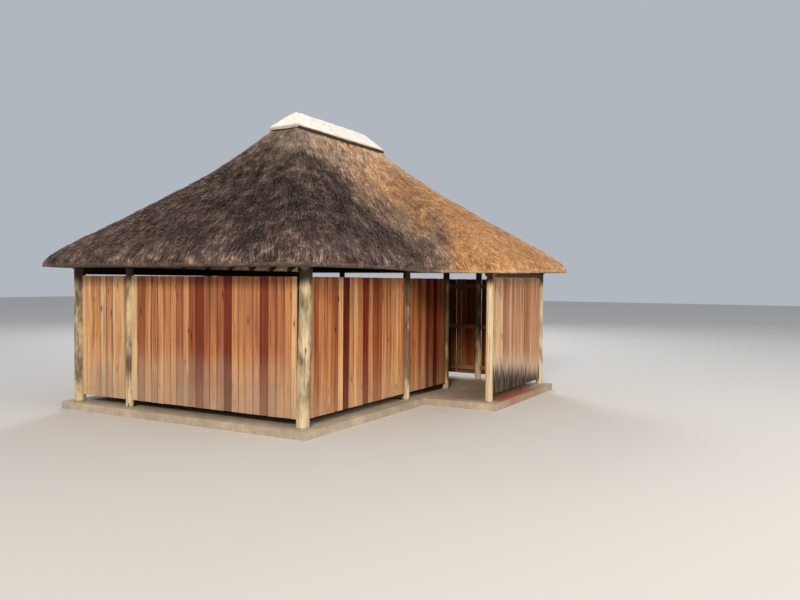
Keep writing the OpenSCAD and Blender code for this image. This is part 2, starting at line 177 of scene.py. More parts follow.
# Materials
class Value:
    """An output of a shader's node. It is used in sums like a number, and as a weight between colours."""

    def __init__(self, shader, socket):
        self.shader = shader
        self.socket = socket

    def math(self, operation, other=0.0, clamp=False):
        inputs = {0: self, 1: other}
        return self.shader.value("ShaderNodeMath", inputs, operation=operation, use_clamp=clamp)

    def __add__(self, other):
        return self.math("ADD", other)

    def __sub__(self, other):
        return self.math("SUBTRACT", other)

    def __rsub__(self, other):
        return self.shader.value("ShaderNodeMath", {0: other, 1: self}, operation="SUBTRACT")

    def __mul__(self, other):
        return self.math("MULTIPLY", other)

    def scaled(self, *scale):
        return self.shader.value("ShaderNodeVectorMath", {0: self, 1: scale}, operation="MULTIPLY")

    def moved(self, shift):
        return self.shader.value("ShaderNodeVectorMath", {0: self, 1: shift}, operation="ADD")

    def ramp(self, *stops):
        """Levels or colours along the value. stops: (place, level or colour)."""
        node = self.shader.node("ShaderNodeValToRGB", {0: self})
        elements = node.color_ramp.elements
        while len(elements) < len(stops):
            elements.new(0.5)
        for element, (at, colour) in zip(elements, stops):
            element.position = at
            element.color = (*colour, 1) if isinstance(colour, tuple) else (colour, colour, colour, 1)
        return Value(self.shader, node.outputs[0])

    def rise(self, low, high, last=1.0):
        return self.ramp((low, 0.0), (high, last))

    def fall(self, low, high, first=1.0):
        return self.ramp((low, first), (high, 0.0))

    def mix(self, a, b):
        """The colour a where the value is 0, b where it is 1."""
        return self.shader.mix(self, a, b, "MIX")

    def product(self, tint):
        return self.shader.mix(1.0, self, tint, "MULTIPLY")

    def tint(self, colour, tint):
        """The colour, times the tint as far as the value says."""
        return self.mix(colour, colour.product(tint))


class Shader:
    """A material made of nodes."""

    def __init__(self, name):
        self.material = bpy.data.materials.new(name)
        self.material.use_nodes = True
        self.tree = self.material.node_tree
        self.bsdf = self.tree.nodes["Principled BSDF"]

    def feed(self, socket, value):
        """Links a value to the socket, or sets the socket's own number. A colour gets its fourth part."""
        if isinstance(value, Value):
            self.tree.links.new(value.socket, socket)
        elif isinstance(value, tuple) and len(value) < len(socket.default_value):
            socket.default_value = (*value, 1)
        else:
            socket.default_value = value

    def node(self, kind, inputs, **settings):
        node = self.tree.nodes.new(kind)
        for key, setting in settings.items():
            setattr(node, key, setting)
        for key, value in inputs.items():
            self.feed(node.inputs[key], value)
        return node

    def value(self, kind, inputs, output=0, **settings):
        return Value(self, self.node(kind, inputs, **settings).outputs[output])

    def split(self, vector):
        return [Value(self, part) for part in self.node("ShaderNodeSeparateXYZ", {0: vector}).outputs]

    def join(self, x, y, z):
        return self.value("ShaderNodeCombineXYZ", {0: x, 1: y, 2: z})

    def place(self):
        return self.value("ShaderNodeTexCoord", {}, "Object")

    def attribute(self, name):
        """The three parts of a value that the mesh's points carry."""
        return self.split(self.value("ShaderNodeAttribute", {}, "Vector", attribute_name=name))

    def noise(self, vector, scale=1.0, detail=3.0, rough=0.55, distortion=0.0):
        inputs = {"Vector": vector, "Scale": scale, "Detail": detail, "Roughness": rough,
                  "Distortion": distortion}
        return self.value("ShaderNodeTexNoise", inputs, "Fac")

    def cells(self, vector, scale=1.0, feature="F1"):
        inputs = {"Vector": vector, "Scale": scale}
        return self.value("ShaderNodeTexVoronoi", inputs, "Distance", feature=feature)

    def mix(self, factor, a, b, kind):
        inputs = {0: factor, 6: a, 7: b}
        return self.value("ShaderNodeMix", inputs, 2, data_type="RGBA", blend_type=kind)

    def bump(self, height, strength, distance):
        return self.value("ShaderNodeBump", {"Height": height, "Strength": strength, "Distance": distance})

    def done(self, colour, rough, normal=None, specular=0.3):
        self.feed(self.bsdf.inputs["Base Color"], colour)
        self.feed(self.bsdf.inputs["Roughness"], rough)
        self.feed(self.bsdf.inputs["Specular IOR Level"], specular)
        if normal is not None:
            self.feed(self.bsdf.inputs["Normal"], normal)
        return self.material


# Boards, from dark red to pale, by tone
BOARD_TONES = [
    (0.00, (0.075, 0.006, 0.002)), (0.12, (0.140, 0.016, 0.005)), (0.30, (0.245, 0.058, 0.019)),
    (0.48, (0.365, 0.122, 0.041)), (0.64, (0.465, 0.195, 0.076)), (0.82, (0.560, 0.290, 0.128)),
    (1.00, (0.620, 0.400, 0.225)),
]
# the low gold is painted sunlight on the boards' lower parts
KNOT_HEART, PAINTED_SUN_GOLD, SUN_GREY = (0.030, 0.011, 0.006), (0.46, 0.29, 0.16), (0.36, 0.27, 0.21)
BLEACHED, SPLASH_BLACK, SPLASH_BROWN = (0.56, 0.45, 0.345), (0.013, 0.010, 0.008), (0.160, 0.115, 0.084)


def fresh_board(tone, rings, streaks, fibres, knot):
    """The wood's own colour, with rings, streaks and fibres, and knots darker than the wood round them."""
    base = tone.ramp(*BOARD_TONES)
    dark, light = base.product((0.72, 0.60, 0.52)), base.product((1.30, 1.38, 1.42))
    colour = rings.rise(0.34, 0.60).mix(dark, light)
    colour = streaks.fall(0.36, 0.50, 0.5).tint(colour, (0.62, 0.50, 0.44))
    colour = fibres.fall(0.35, 0.6, 0.3).tint(colour, (0.62, 0.52, 0.45))
    colour = knot.fall(0.10, 0.22, 0.5).tint(colour, (0.62, 0.38, 0.28))
    return knot.fall(0.050, 0.105).mix(colour, KNOT_HEART)


def sunlit_and_greyed_board(colour, tone, height, blotch, ragged, exposed):
    """Lower parts lighter and golden, a painted sunlight below the eave's shade that is stronger on pale
    boards, and greyed in blotches by the weather.
    """
    pale = tone.ramp((0.10, 0.15), (0.45, 1.0))
    colour = (pale * (height + ragged).fall(0.35, 1.0, 0.55)).tint(colour, (1.18, 1.24, 0.92))
    colour = (pale * (height + ragged * 0.6).fall(0.05, 0.40, 0.42)).mix(colour, PAINTED_SUN_GOLD)
    return (exposed * blotch.ramp((0.30, 0.12), (0.70, 0.46))).mix(colour, SUN_GREY)


def splashed_board(colour, splash, runs, ragged, worn, exposed):
    """Black streaks at the lower ends of the most worn boards, with bleached wood above them."""
    bleached = (splash + ragged * 0.25).ramp((0.06, 0.95), (0.38, 0.62), (0.60, 0.0))
    bleached = bleached * runs.ramp((0.36, 1.0), (0.62, 0.55))
    colour = (exposed.math("MULTIPLY", 1.35, True) * bleached).mix(colour, BLEACHED)
    black = worn.rise(0.30, 0.80) * splash.fall(0.17, 0.36)
    return black.mix(colour, runs.rise(0.42, 0.64).mix(SPLASH_BLACK, SPLASH_BROWN))


def board_material():
    """Upright boards. board holds a shift, the tone and the wear, grain the place across, up and out."""
    s = Shader("board_wood")
    offset, tone, worn = s.attribute("board")
    across, along, depth = s.attribute("grain")
    place = s.place()
    x, _, z = s.split(place)
    shift = offset * 37.0
    knot = s.cells(s.join(across * 7.5, along * 2.3, shift))
    bend = knot.fall(0.0, 0.45) * 0.7
    rings = s.noise(s.join(across * 30.0 + bend, along * 0.8, shift), 1.0, 3.0, 0.55, 0.4)
    streaks = s.noise(s.join(across * 110.0, along * 2.0, shift), 1.0, 4.0, 0.65)
    fibres = s.noise(s.join(across * 420.0, along * 9.0, shift), 1.0, 2.0)
    runs = s.noise(s.join(across * 64.0, along * 1.5, shift), 1.0, 2.0, 0.6)
    blotch = s.noise(place.scaled(5.0, 5.0, 1.8), 1.0, 4.0, 0.6)
    ragged = (blotch - 0.5) * 1.1
    # the dark boards weather less than the pale ones
    exposed = worn * tone.ramp((0.10, 0.30), (0.42, 1.0))
    # the splash marks have an uneven edge, which climbs towards the screen's doorway end
    height = z - BOARD_LOW
    climb = (runs - 0.5) * -0.55 + (streaks - 0.5) * -0.35 + (offset - 0.4) * 0.06
    splash = height + (climb + (x.math("MAXIMUM", 0.3) - 1.55) * 0.13)
    colour = fresh_board(tone, rings, streaks, fibres, knot)
    # dirt sits along one or both edges of some boards
    soiled = s.noise(s.join(shift, across.math("SIGN"), 0.0), 1.0, 0.0).rise(0.40, 0.60, 0.75)
    edge = (across.math("ABSOLUTE") * 10.0).rise(0.38, 0.50)
    colour = (soiled * edge).tint(colour, (0.36, 0.26, 0.22))
    # painted sunlight on the lower parts of the boards
    colour = sunlit_and_greyed_board(colour, tone, height, blotch, ragged, exposed)
    colour = splashed_board(colour, splash, runs, ragged, worn, exposed)
    # the sheltered inner faces have kept a deep colour, darkened further by painted shade inside the hut
    colour = (depth * 50.0).fall(0.02, 0.30).tint(colour, (0.42, 0.27, 0.20))
    relief = rings * 0.5 + (streaks * 0.6 + fibres * 0.5)
    return s.done(colour, streaks.ramp((0.3, 0.85), (0.7, 0.66)), s.bump(relief, 0.5, 0.004), 0.1)


# Peeled poles: the dark and the light of the streaks in fresh, old and shaded wood
POLE_FRESH = (0.45, 0.33, 0.185), (0.76, 0.63, 0.41)
POLE_OLD = (0.055, 0.042, 0.027), (0.215, 0.165, 0.100)
POLE_HEAD_SHADE = (0.020, 0.014, 0.010), (0.075, 0.055, 0.036)
POLE_CRACK, POLE_KNOT = (0.050, 0.036, 0.025), (0.055, 0.038, 0.024)


def pole_material():
    """Peeled poles. grain holds the way round, the way up and a shift, pole how weathered it is, partly
    painted shade and light.
    """
    s = Shader("post_wood")
    around, along, shift = s.attribute("grain")
    worn = s.attribute("pole")[0]
    streaks = s.noise(s.join(around * 60.0, along * 1.6, shift * 11.0), 1.0, 4.0, 0.65, 0.3)
    blotch = s.noise(s.join(around * 8.0, along * 2.6, shift), 1.0, 4.0, 0.6)
    cracks = s.noise(s.join(around * 120.0, along * 1.3, shift), 1.0, 2.0, 0.5, 0.8)
    knots = s.cells(s.join(around * 9.0, along * 2.6, shift))
    streaked = streaks.rise(0.3, 0.7)
    # weathering comes in long blotches and spares the foot
    height = along - SLAB
    foot = (height + (streaks - 0.5) * 0.5).fall(0.10, 0.36, 0.62)
    age = worn + (blotch - 0.5) * 2.6 - foot
    colour = age.rise(0.20, 0.90).mix(streaked.mix(*POLE_FRESH), streaked.mix(*POLE_OLD))
    # painted shade: the heads are dark in the shadow of the thatch
    painted_head_shade = ((height + (streaks - 0.5) * 0.25) * 0.5).rise(0.810, 0.865, 0.95)
    colour = painted_head_shade.mix(colour, streaked.mix(*POLE_HEAD_SHADE))
    colour = cracks.fall(0.30, 0.38).mix(colour, POLE_CRACK)
    colour = knots.fall(0.05, 0.13, 0.9).mix(colour, POLE_KNOT)
    relief = streaks * 0.5 + cracks.rise(0.28, 0.40)
    return s.done(colour, 0.75, s.bump(relief, 0.6, 0.004), 0.25)


def node_wood_material(name, light, dark, axis_scale):
    """Timber that keeps its solids: streaks with their own scale on each axis, and darker blotches."""
    s = Shader(name)
    place = s.place()
    streaks = s.noise(place.scaled(*axis_scale), 1.0, 4.0, 0.65, 0.2)
    fine = s.noise(place.scaled(*(4 * k for k in axis_scale)), 1.0, 2.0)
    colour = streaks.rise(0.3, 0.7).mix(dark, light)
    colour = s.noise(place, 5.0, 4.0, 0.6).fall(0.35, 0.6, 0.5).tint(colour, (0.55, 0.5, 0.48))
    return s.done(colour, 0.78, s.bump(streaks + fine * 0.5, 0.5, 0.004), 0.25)


# Grass, from the shade between the stems to their lit sides, in the three tones
GRASS = (
    [(0.40, (0.016, 0.011, 0.012)), (0.50, (0.064, 0.043, 0.038)), (0.61, (0.270, 0.190, 0.158))],
    [(0.40, (0.095, 0.060, 0.043)), (0.50, (0.260, 0.174, 0.120)), (0.60, (0.510, 0.372, 0.262))],
    [(0.40, (0.320, 0.140, 0.060)), (0.50, (0.610, 0.318, 0.140)), (0.60, (0.840, 0.530, 0.270))],
)
GRASS_PALE = (0.31, 0.235, 0.205), (0.56, 0.425, 0.305), (0.82, 0.58, 0.34)
# painted highlight along the sunlit hips
GRASS_HIP_HIGHLIGHT = (0.36, 0.28, 0.24), (0.62, 0.49, 0.36), (0.90, 0.71, 0.47)
# How light the grey grass is, by height up the roof: partly painted shade, darkest half way up, and paler
# towards the eave
GREY_SHADE = (0.06, 0.98), (0.20, 0.62), (0.34, 0.50), (0.55, 0.55), (0.75, 0.75)
# Loose stems, from the darkest to the palest, in the three tones
STEM_STEPS = (0.0, 0.5, 0.85, 1.0)
STEM_TONES = (
    ((0.026, 0.018, 0.018), (0.100, 0.073, 0.066), (0.240, 0.180, 0.155), (0.38, 0.30, 0.25)),
    ((0.100, 0.062, 0.042), (0.270, 0.178, 0.120), (0.46, 0.335, 0.23), (0.60, 0.46, 0.33)),
    ((0.220, 0.100, 0.044), (0.52, 0.285, 0.130), (0.70, 0.450, 0.240), (0.84, 0.62, 0.39)),
)


def weather_and_painted_sun(s, place, streaks=None):
    """How warm and pale the grass is, low at the left eave and high on the right-hand end: partly weathering,
    partly painted light, with painted shade on the left and painted sunlight on the right.
    """
    patches = s.noise(place.scaled(1.0, 1.0, 1.4).moved((3.7, 1.1, 5.2)), 1.5, 5.0, 0.62)
    x, y, z = s.split(place)
    # painted light: warmer towards the sunlit right and the top, greyer in the painted shade on the left
    sunny = (x * 0.42 + (z - 2.95) * 0.42 + 0.58).math("MINIMUM", 0.70)
    open_end = (x - 0.3).math("MAXIMUM", 0.0) * 0.30
    step = ((-1.75 - y).math("MAXIMUM", 0.0) * 1.7).math("MINIMUM", 0.9)
    total = sunny + (open_end + step) + (patches - 0.5) * 1.15
    if streaks is not None:
        total = total + (streaks - 0.5) * 0.7
    # held between 0 and 1
    return total.math("ADD", 0.0, True)


def three_tones(warm, grey, brown, gold):
    """Grey where warm is low, brown half way, gold where it is high."""
    return warm.rise(0.50, 0.95).mix(warm.rise(0.10, 0.50).mix(grey, brown), gold)


def thatch_material():
    """Combed grass. flow holds the way along the eave, the way down the slope and the sort of surface."""
    s = Shader("thatch")
    along, down, sort = s.attribute("flow")
    place = s.place()
    across = along + s.noise(place, 2.6) * 0.16
    fine = s.noise(s.join(across * 230.0, down * 16.0, 0.0), 1.0, 3.0, 0.7)
    tufts = s.noise(s.join(across * 62.0, down * 16.0, 3.0), 1.0, 4.0, 0.72)
    strands = s.noise(s.join(across * 36.0, down * 4.2, 7.0), 1.0, 5.0, 0.68)
    speckle = s.noise(place, 45.0, 3.0, 0.65)
    clumps = s.noise(place, 6.0, 5.0, 0.68)
    painted_shade = s.noise(place.moved((9.1, 4.3, 2.7)), 2.4, 4.0, 0.65)
    # warm carries painted sunlight and shade as well as weathering
    warm = weather_and_painted_sun(s, place, strands)
    height = (s.split(place)[2] - 2.0) * 0.5 + (clumps - 0.5) * 0.30
    # painted shade: the grey grass is darkest half way up the roof and in dappled patches of painted shade
    grey, brown, gold = ((strands * 0.50 + clumps * 0.50).ramp(*stops) for stops in GRASS)
    shade = height.ramp(*GREY_SHADE) * 1.5 * (painted_shade.ramp((0.40, 0.36), (0.60, 1.0)) * 1.45)
    colour = three_tones(warm, grey.product(s.join(shade, shade, shade)), brown, gold)
    colour = tufts.fall(0.38, 0.49, 0.85).tint(colour, (0.34, 0.28, 0.27))
    colour = tufts.rise(0.52, 0.64, 0.8).tint(colour, (1.90, 1.85, 1.80))
    colour = fine.fall(0.32, 0.5, 0.6).tint(colour, (0.48, 0.43, 0.41))
    pale = three_tones(warm, *GRASS_PALE)
    colour = speckle.rise(0.58, 0.72, 0.5).mix(colour, pale)
    # the grass below the cap is paler, partly painted sunlight above the shade further down, and the hips
    # carry a painted highlight where they catch the sun
    colour = (height.rise(0.60, 0.80) * warm).tint(colour, (1.25, 1.42, 1.75))
    hip = sort.rise(0.02, 0.30, 0.85) * warm * (tufts + (clumps - 0.5) * 1.2).ramp((0.38, 0.20), (0.60, 1.0))
    colour = hip.mix(colour, three_tones(warm, *GRASS_HIP_HIGHLIGHT))
    # the cut ends and the grass inside are pale stubble, a little darker between the stems
    stubble = s.noise(place, 110.0).rise(0.34, 0.56).mix(colour.product((0.35, 0.32, 0.30)), pale)
    colour = sort.rise(0.4, 0.55, 0.5).mix(colour, stubble)
    relief = tufts + (fine * 0.5 + speckle * 0.6)
    return s.done(colour, 0.92, s.bump(relief, 1.0, 0.022), 0.1)


def straw_material():
    """Loose stems at the eave and on the slopes. The last part of flow is how pale a stem is."""
    s = Shader("straw")
    pale = s.attribute("flow")[2]
    tones = [pale.ramp(*zip(STEM_STEPS, colours)) for colours in STEM_TONES]
    # the stems take the same painted sunlight and shade as the grass
    return s.done(three_tones(weather_and_painted_sun(s, s.place()), *tones), 0.88, None, 0.12)


def cement_material():
    """Trowelled cement with stains, pits and hair cracks, darker along its lower edge, with a painted shadow
    there on the long sides.
    """
    s = Shader("ridge_cement")
    place = s.place()
    x, _, z = s.split(place)
    stain = s.noise(place.scaled(7.0, 7.0, 2.5), 1.0, 5.0, 0.6)
    trowel = s.noise(place.scaled(9.0, 22.0, 22.0), 1.0, 3.0, 0.6, 0.6)
    pits = s.cells(place, 60.0)
    colour = s.noise(place, 3.2, 5.0, 0.62).rise(0.35, 0.65).mix((0.84, 0.79, 0.70), (0.93, 0.91, 0.87))
    colour = stain.rise(0.52, 0.72, 0.45).mix(colour, (0.64, 0.54, 0.40))
    colour = stain.fall(0.22, 0.40, 0.35).mix(colour, (0.74, 0.61, 0.56))
    colour = pits.fall(0.06, 0.14, 0.6).mix(colour, (0.30, 0.26, 0.22))
    stray = s.value("ShaderNodeTexNoise", {"Vector": place, "Scale": 6.0, "Detail": 4.0}, "Color")
    bent = place.scaled(3.0, 3.0, 3.0).moved(stray.scaled(0.35, 0.35, 0.35))
    cracks = s.cells(bent, 1.0, "DISTANCE_TO_EDGE")
    colour = cracks.fall(0.004, 0.012, 0.40).mix(colour, (0.35, 0.30, 0.25))
    # the lower edge is darker, and on the long sides its lowest few centimetres are near black with painted
    # shadow
    rise = z - CAP_Z
    colour = (rise * 9.0 + stain * -0.5).fall(0.0, 0.45, 0.75).mix(colour, (0.33, 0.27, 0.21))
    long_side = (x.math("ABSOLUTE") * 0.8).fall(0.930, 0.945)
    painted_shade = (rise * 20.0 + (stain - 0.5) * 0.8).fall(0.70, 0.95)
    colour = (long_side * painted_shade).mix(colour, (0.050, 0.036, 0.028))
    relief = trowel + (s.noise(place, 180.0, 2.0) * 0.25 + pits.rise(0.05, 0.16, 0.4))
    return s.done(colour, 0.86, s.bump(relief, 0.5, 0.006), 0.3)


def slab_material():
    """Mottled concrete, with red earth trodden into the passage and washed against the screen's foot."""
    s = Shader("concrete")
    place = s.place()
    x, y, _ = s.split(place)
    mottle = s.noise(place, 9.0, 5.0, 0.65)
    grit = s.noise(place, 130.0)
    colour = s.noise(place, 1.6, 5.0, 0.6).rise(0.35, 0.65).mix((0.36, 0.28, 0.20), (0.52, 0.44, 0.34))
    colour = mottle.fall(0.40, 0.60, 0.45).mix(colour, (0.28, 0.22, 0.17))
    colour = grit.rise(0.60, 0.72, 0.6).mix(colour, (0.62, 0.55, 0.45))
    colour = grit.fall(0.28, 0.38, 0.5).mix(colour, (0.17, 0.14, 0.11))
    passage = (y + 2.25).math("ABSOLUTE").fall(0.1, 0.75) * (x - 1.45).math("ABSOLUTE").fall(0.5, 1.5)
    dust = passage * s.noise(place, 4.5, 5.0, 0.65).rise(0.34, 0.62, 0.85)
    colour = dust.mix(colour, (0.30, 0.115, 0.055))
    foot = (y + 2.50).math("ABSOLUTE").fall(0.05, 0.17) * (x - 1.15).math("ABSOLUTE").fall(0.60, 0.90)
    colour = (foot * mottle.ramp((0.30, 0.5), (0.50, 1.0))).mix(colour, (0.30, 0.075, 0.030))
    return s.done(colour, 0.85, s.bump(mottle * 0.6 + grit * 0.35, 0.45, 0.006), 0.3)


def nail_material():
    """Dull steel with rust in patches."""
    s = Shader("nail_steel")
    colour = s.noise(s.place(), 40.0).rise(0.4, 0.6).mix((0.045, 0.038, 0.034), (0.12, 0.05, 0.025))
    s.feed(s.bsdf.inputs["Metallic"], 0.6)
    return s.done(colour, 0.55, None, 0.5)


EVEN_GRAIN, LEVEL_GRAIN = (22.0, 22.0, 22.0), (3.0, 3.0, 60.0)
BOARD = board_material()
POST = pole_material()
POLE = node_wood_material("pole_wood", (0.25, 0.175, 0.105), (0.085, 0.055, 0.034), EVEN_GRAIN)
# painted shade: the plates are near black for the shade they sit in under the eave
SHADED_PLATE = node_wood_material("plate_wood", (0.110, 0.075, 0.047), (0.030, 0.020, 0.013), EVEN_GRAIN)
RAIL = node_wood_material("rail_wood", (0.36, 0.20, 0.10), (0.17, 0.080, 0.040), LEVEL_GRAIN)
THATCH = thatch_material()
STRAW = straw_material()
CEMENT = cement_material()
CONCRETE = slab_material()
NAIL = nail_material()

# Materials of the CAD nodes that stay, by a word in their names
NODE_LOOKS = {"rails": RAIL, "plate": SHADED_PLATE, "rafters": POLE, "ridge_pole": POLE, "collar_ties": POLE,
              "laths": POLE, "floor_slab": CONCRETE}


def finish_nodes():
    """Gives the CAD nodes that stay their materials, and the slab a worn edge."""
    for name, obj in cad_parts.items():
        for word, material in NODE_LOOKS.items():
            if word in name:
                obj.data.materials.clear()
                obj.data.materials.append(material)
    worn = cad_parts["floor_slab"].modifiers.new("worn_edge", "BEVEL")
    worn.width = 0.012
    worn.segments = 3
    worn.limit_method = "ANGLE"


# Boards and nails. A wall has its start corner, the direction along it, its outward direction, its posts
# as (place along it, radius), and a seed.
Wall = namedtuple("Wall", "start run out posts seed")
WALLS = {
    "front_boards": Wall((LEFT_X, FRONT_Y), (1, 0), (0, -1),
                         [(0, CORNER_R), (MIDDLE_X - LEFT_X, MID_R), (DOOR_X - LEFT_X, MID_R)], 11),
    "left_boards": Wall((LEFT_X, BACK_Y), (0, -1), (-1, 0),
                        [(0, CORNER_R), (BACK_Y - SIDE_Y, MID_R), (BACK_Y - FRONT_Y, CORNER_R)], 23),
    "right_boards": Wall((RIGHT_X, SCREEN_Y), (0, 1), (1, 0),
                         [(0, MID_R), (FRONT_Y - SCREEN_Y, MID_R), (SIDE_Y - SCREEN_Y, MID_R),
                          (BACK_Y - SCREEN_Y, CORNER_R)], 37),
    "back_boards": Wall((RIGHT_X, BACK_Y), (-1, 0), (0, 1),
                        [(0, CORNER_R), (RIGHT_X, MID_R), (RIGHT_X - LEFT_X, CORNER_R)], 53),
    "screen_boards": Wall((SCREEN_X, SCREEN_Y), (1, 0), (0, -1),
                          [(0, MID_R), (RIGHT_X - SCREEN_X, MID_R)], 71),
}
# Boards along some walls, as (far edge in metres along the wall, tone from dark red to pale). A longer
# stretch is shared out between boards of about the usual width.
PLAN = {
    "front_boards": [(0.205, 0.72), (0.290, 0.28), (0.385, 0.54), (0.460, 0.50), (0.560, 0.60), (0.628, 0.44),
                     (0.698, 0.30), (0.809, 0.86), (0.935, 0.03), (1.155, 0.76), (1.278, 0.50), (1.405, 0.10),
                     (1.525, 0.62), (1.763, 0.30), (1.874, 0.64), (2.000, 0.50), (2.334, 0.76), (2.415, 0.42),
                     (2.680, 0.44), (2.822, 0.50), (2.918, 0.32), (3.060, 0.52), (3.175, 0.12), (3.303, 0.42),
                     (3.430, 0.10), (3.739, 0.44)],
    "left_boards": [(0.270, 0.86), (0.440, 0.76), (0.560, 0.94), (0.680, 0.80), (0.790, 0.92), (0.950, 0.84),
                    (1.170, 0.96), (1.300, 0.38), (1.420, 0.78), (1.530, 0.60), (1.640, 0.74), (1.760, 0.54),
                    (1.860, 0.66), (1.980, 0.44), (2.080, 0.72), (2.200, 0.34), (2.320, 0.22), (2.430, 0.44),
                    (2.550, 0.52), (2.660, 0.30), (2.780, 0.08), (3.110, 0.60), (3.220, 0.50), (3.340, 0.18),
                    (3.460, 0.46), (3.580, 0.56), (3.680, 0.60), (3.760, 0.92)],
    "screen_boards": [(0.472, 0.98), (0.558, 0.38), (0.709, 0.62), (0.848, 0.94), (0.915, 0.48),
                      (1.174, 0.80), (1.365, 0.76), (1.636, 0.50), (2.139, 0.78)],
}
WEAR = {"screen_boards": 0.84, "left_boards": 0.30}
LEAST_WEAR = 0.04
USUAL_WIDTH, DRAWN_WIDTHS, LEAST_WIDTH, LEAST_REST = 0.112, (0.086, 0.124), 0.03, 0.06
# How far the boards reach into the posts, and the size of their worn arrises
INTO_POST, BOARD_ARRIS = 0.004, 0.003
# Places up a board where it may bow, and the two nails across it at each rail
BOARD_STEPS = np.array([0.0, 0.12, 0.4, 0.75, 1.15, 1.45, 1.65])
NAILS_ACROSS = (0.24, 0.76)
NAIL_SIDES, NAIL_PROUD = 7, 0.0014
NAIL_RINGS = ((-0.002, 0.0042), (0.0006, 0.0042), (NAIL_PROUD, 0.0026))


def board_edges(name, at, stop, rng):
    """Boards between two posts, as (near edge, far edge, tone)."""
    boards = []
    for far, tone in PLAN.get(name, []):
        if far < at + LEAST_WIDTH or at >= stop:
            continue
        far = stop if stop - far < LEAST_WIDTH else far
        count = max(1, round((far - at) / USUAL_WIDTH))
        width = (far - at) / count
        for _ in range(count):
            boards.append((at, at + width, float(np.clip(tone + rng.normal(0, 0.045), 0, 1))))
            at += width
    while at < stop - 0.02:
        width = rng.uniform(*DRAWN_WIDTHS)
        if stop - at - width < LEAST_REST:
            width = stop - at
        boards.append((at, at + width, float(np.clip(rng.normal(0.54, 0.22), 0.05, 1.0))))
        at += width
    return boards


def board_section(width, thick, arris):
    """Corners of a board's section: across, and outwards from its back."""
    return np.array([(0, 0), (width, 0), (width, thick - arris), (width - arris, thick), (arris, thick),
                     (0, thick - arris)])


def draw_board(name, rng):
    """One board's gap, thickness, lower and upper end, and wear."""
    gap = rng.uniform(0.004, 0.0085)
    thick = BOARD_T - rng.uniform(0.0004, 0.0034)
    low = BOARD_LOW + rng.uniform(0.0005, 0.0045)
    top = (SCREEN_TOP if name == "screen_boards" else BOARD_TOP) - rng.uniform(0.0005, 0.0040)
    wear = WEAR.get(name, LEAST_WEAR) + rng.uniform(0.0, 0.15)
    return gap, thick, low, top, wear


def wall_of_boards(name, wall):
    """The boards of one wall as one piece. Returns the places of its nails."""
    rng = np.random.default_rng(wall.seed)
    (start_x, start_y), (run_x, run_y), (out_x, out_y) = wall.start, wall.run, wall.out
    mirrored = run_x * out_y - run_y * out_x <= 0
    verts, faces, board, grain, nails = [], [], [], [], []
    number = 0
    for (a, a_radius), (b, b_radius) in zip(wall.posts, wall.posts[1:]):
        for at, far, tone in board_edges(name, a + a_radius - INTO_POST, b - b_radius + INTO_POST, rng):
            width = far - at
            gap, thick, low, top, wear = draw_board(name, rng)
            section = board_section(width - gap, thick, BOARD_ARRIS)
            z = low + BOARD_STEPS / BOARD_STEPS[-1] * (top - low)
            bow = rng.normal(0, 0.0012, len(z))
            cup = rng.normal(0, 0.0006)
            offset = (number * 0.6180339 + wall.seed * 0.137) % 1.0
            for face in tube_faces(len(z), len(section)):
                faces.append((face[::-1] if mirrored else face) + len(verts))
            for k, zk in enumerate(z):
                for px, py in section:
                    u = at + px
                    w = min(py + min(bow[k], 0.0) * (py > 0) + cup * (py > 0), BOARD_T)
                    verts.append((start_x + run_x * u + out_x * w, start_y + run_y * u + out_y * w, zk))
                    board.append((offset, tone, wear))
                    grain.append((px - width / 2, zk, py))
            for level, side in product(RAIL_Z, NAILS_ACROSS):
                u = at + width * side + rng.normal(0, 0.003)
                zn = level + rng.normal(0, 0.008)
                nails.append((start_x + run_x * u, start_y + run_y * u, zn, out_x, out_y, thick))
            number += 1
    obj = make_mesh(name.replace("_boards", "_wall"), verts, faces, BOARD, False,
                    [("board", board), ("grain", grain)])
    settle(obj, "board_wood", name)
    return nails


def nail_heads(nails):
    """All nail heads as one piece. Each stands out of its board in rings, with a depth and a radius."""
    verts, faces = [], []
    head_faces = tube_faces(len(NAIL_RINGS), NAIL_SIDES)
    for x, y, z, out_x, out_y, thick in nails:
        faces += [face + len(verts) for face in head_faces]
        for depth, radius in NAIL_RINGS:
            d = min(thick + depth, BOARD_T + NAIL_PROUD)
            for k in range(NAIL_SIDES):
                a = 2 * math.pi * k / NAIL_SIDES
                h = radius * math.cos(a)
                v = radius * math.sin(a)
                verts.append((x + out_x * d - out_y * h, y + out_y * d + out_x * h, z + v))
    obj = make_mesh("board_nails", verts, faces, NAIL, False)
    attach(obj, "root")


def walls():
    nails = []
    for name, wall in WALLS.items():
        nails += wall_of_boards(name, wall)
    nail_heads(nails)


# Poles: how weathered each is, partly painted shade and light (the front middle and door posts dark for the
# shade on the front wall, the screen's outer post pale for the sun on it), and how far the top of one stands
# out of plumb
POSTS = {
    "front_left_post": 0.58, "front_middle_post": 0.95, "door_post": 0.85, "front_right_post": 0.60,
    "screen_outer_post": 0.00, "screen_corner_post": 0.35, "left_middle_post": 0.45,
    "right_middle_post": 0.50, "back_left_post": 0.62, "back_middle_post": 0.50, "back_right_post": 0.45,
}
LEAN = {"front_left_post": (0.014, -0.028)}
POLE_SIDES, POLE_ROW = 60, 0.026
# A pole is a little smaller than its solid, tapers, and is uneven by this share of its radius
POLE_SMALLER, POLE_TAPER, POLE_UNEVEN = 0.003, 0.045, 0.045
THICK_POLE, THICK_BEND, THIN_BEND = 0.06, 0.006, 0.009


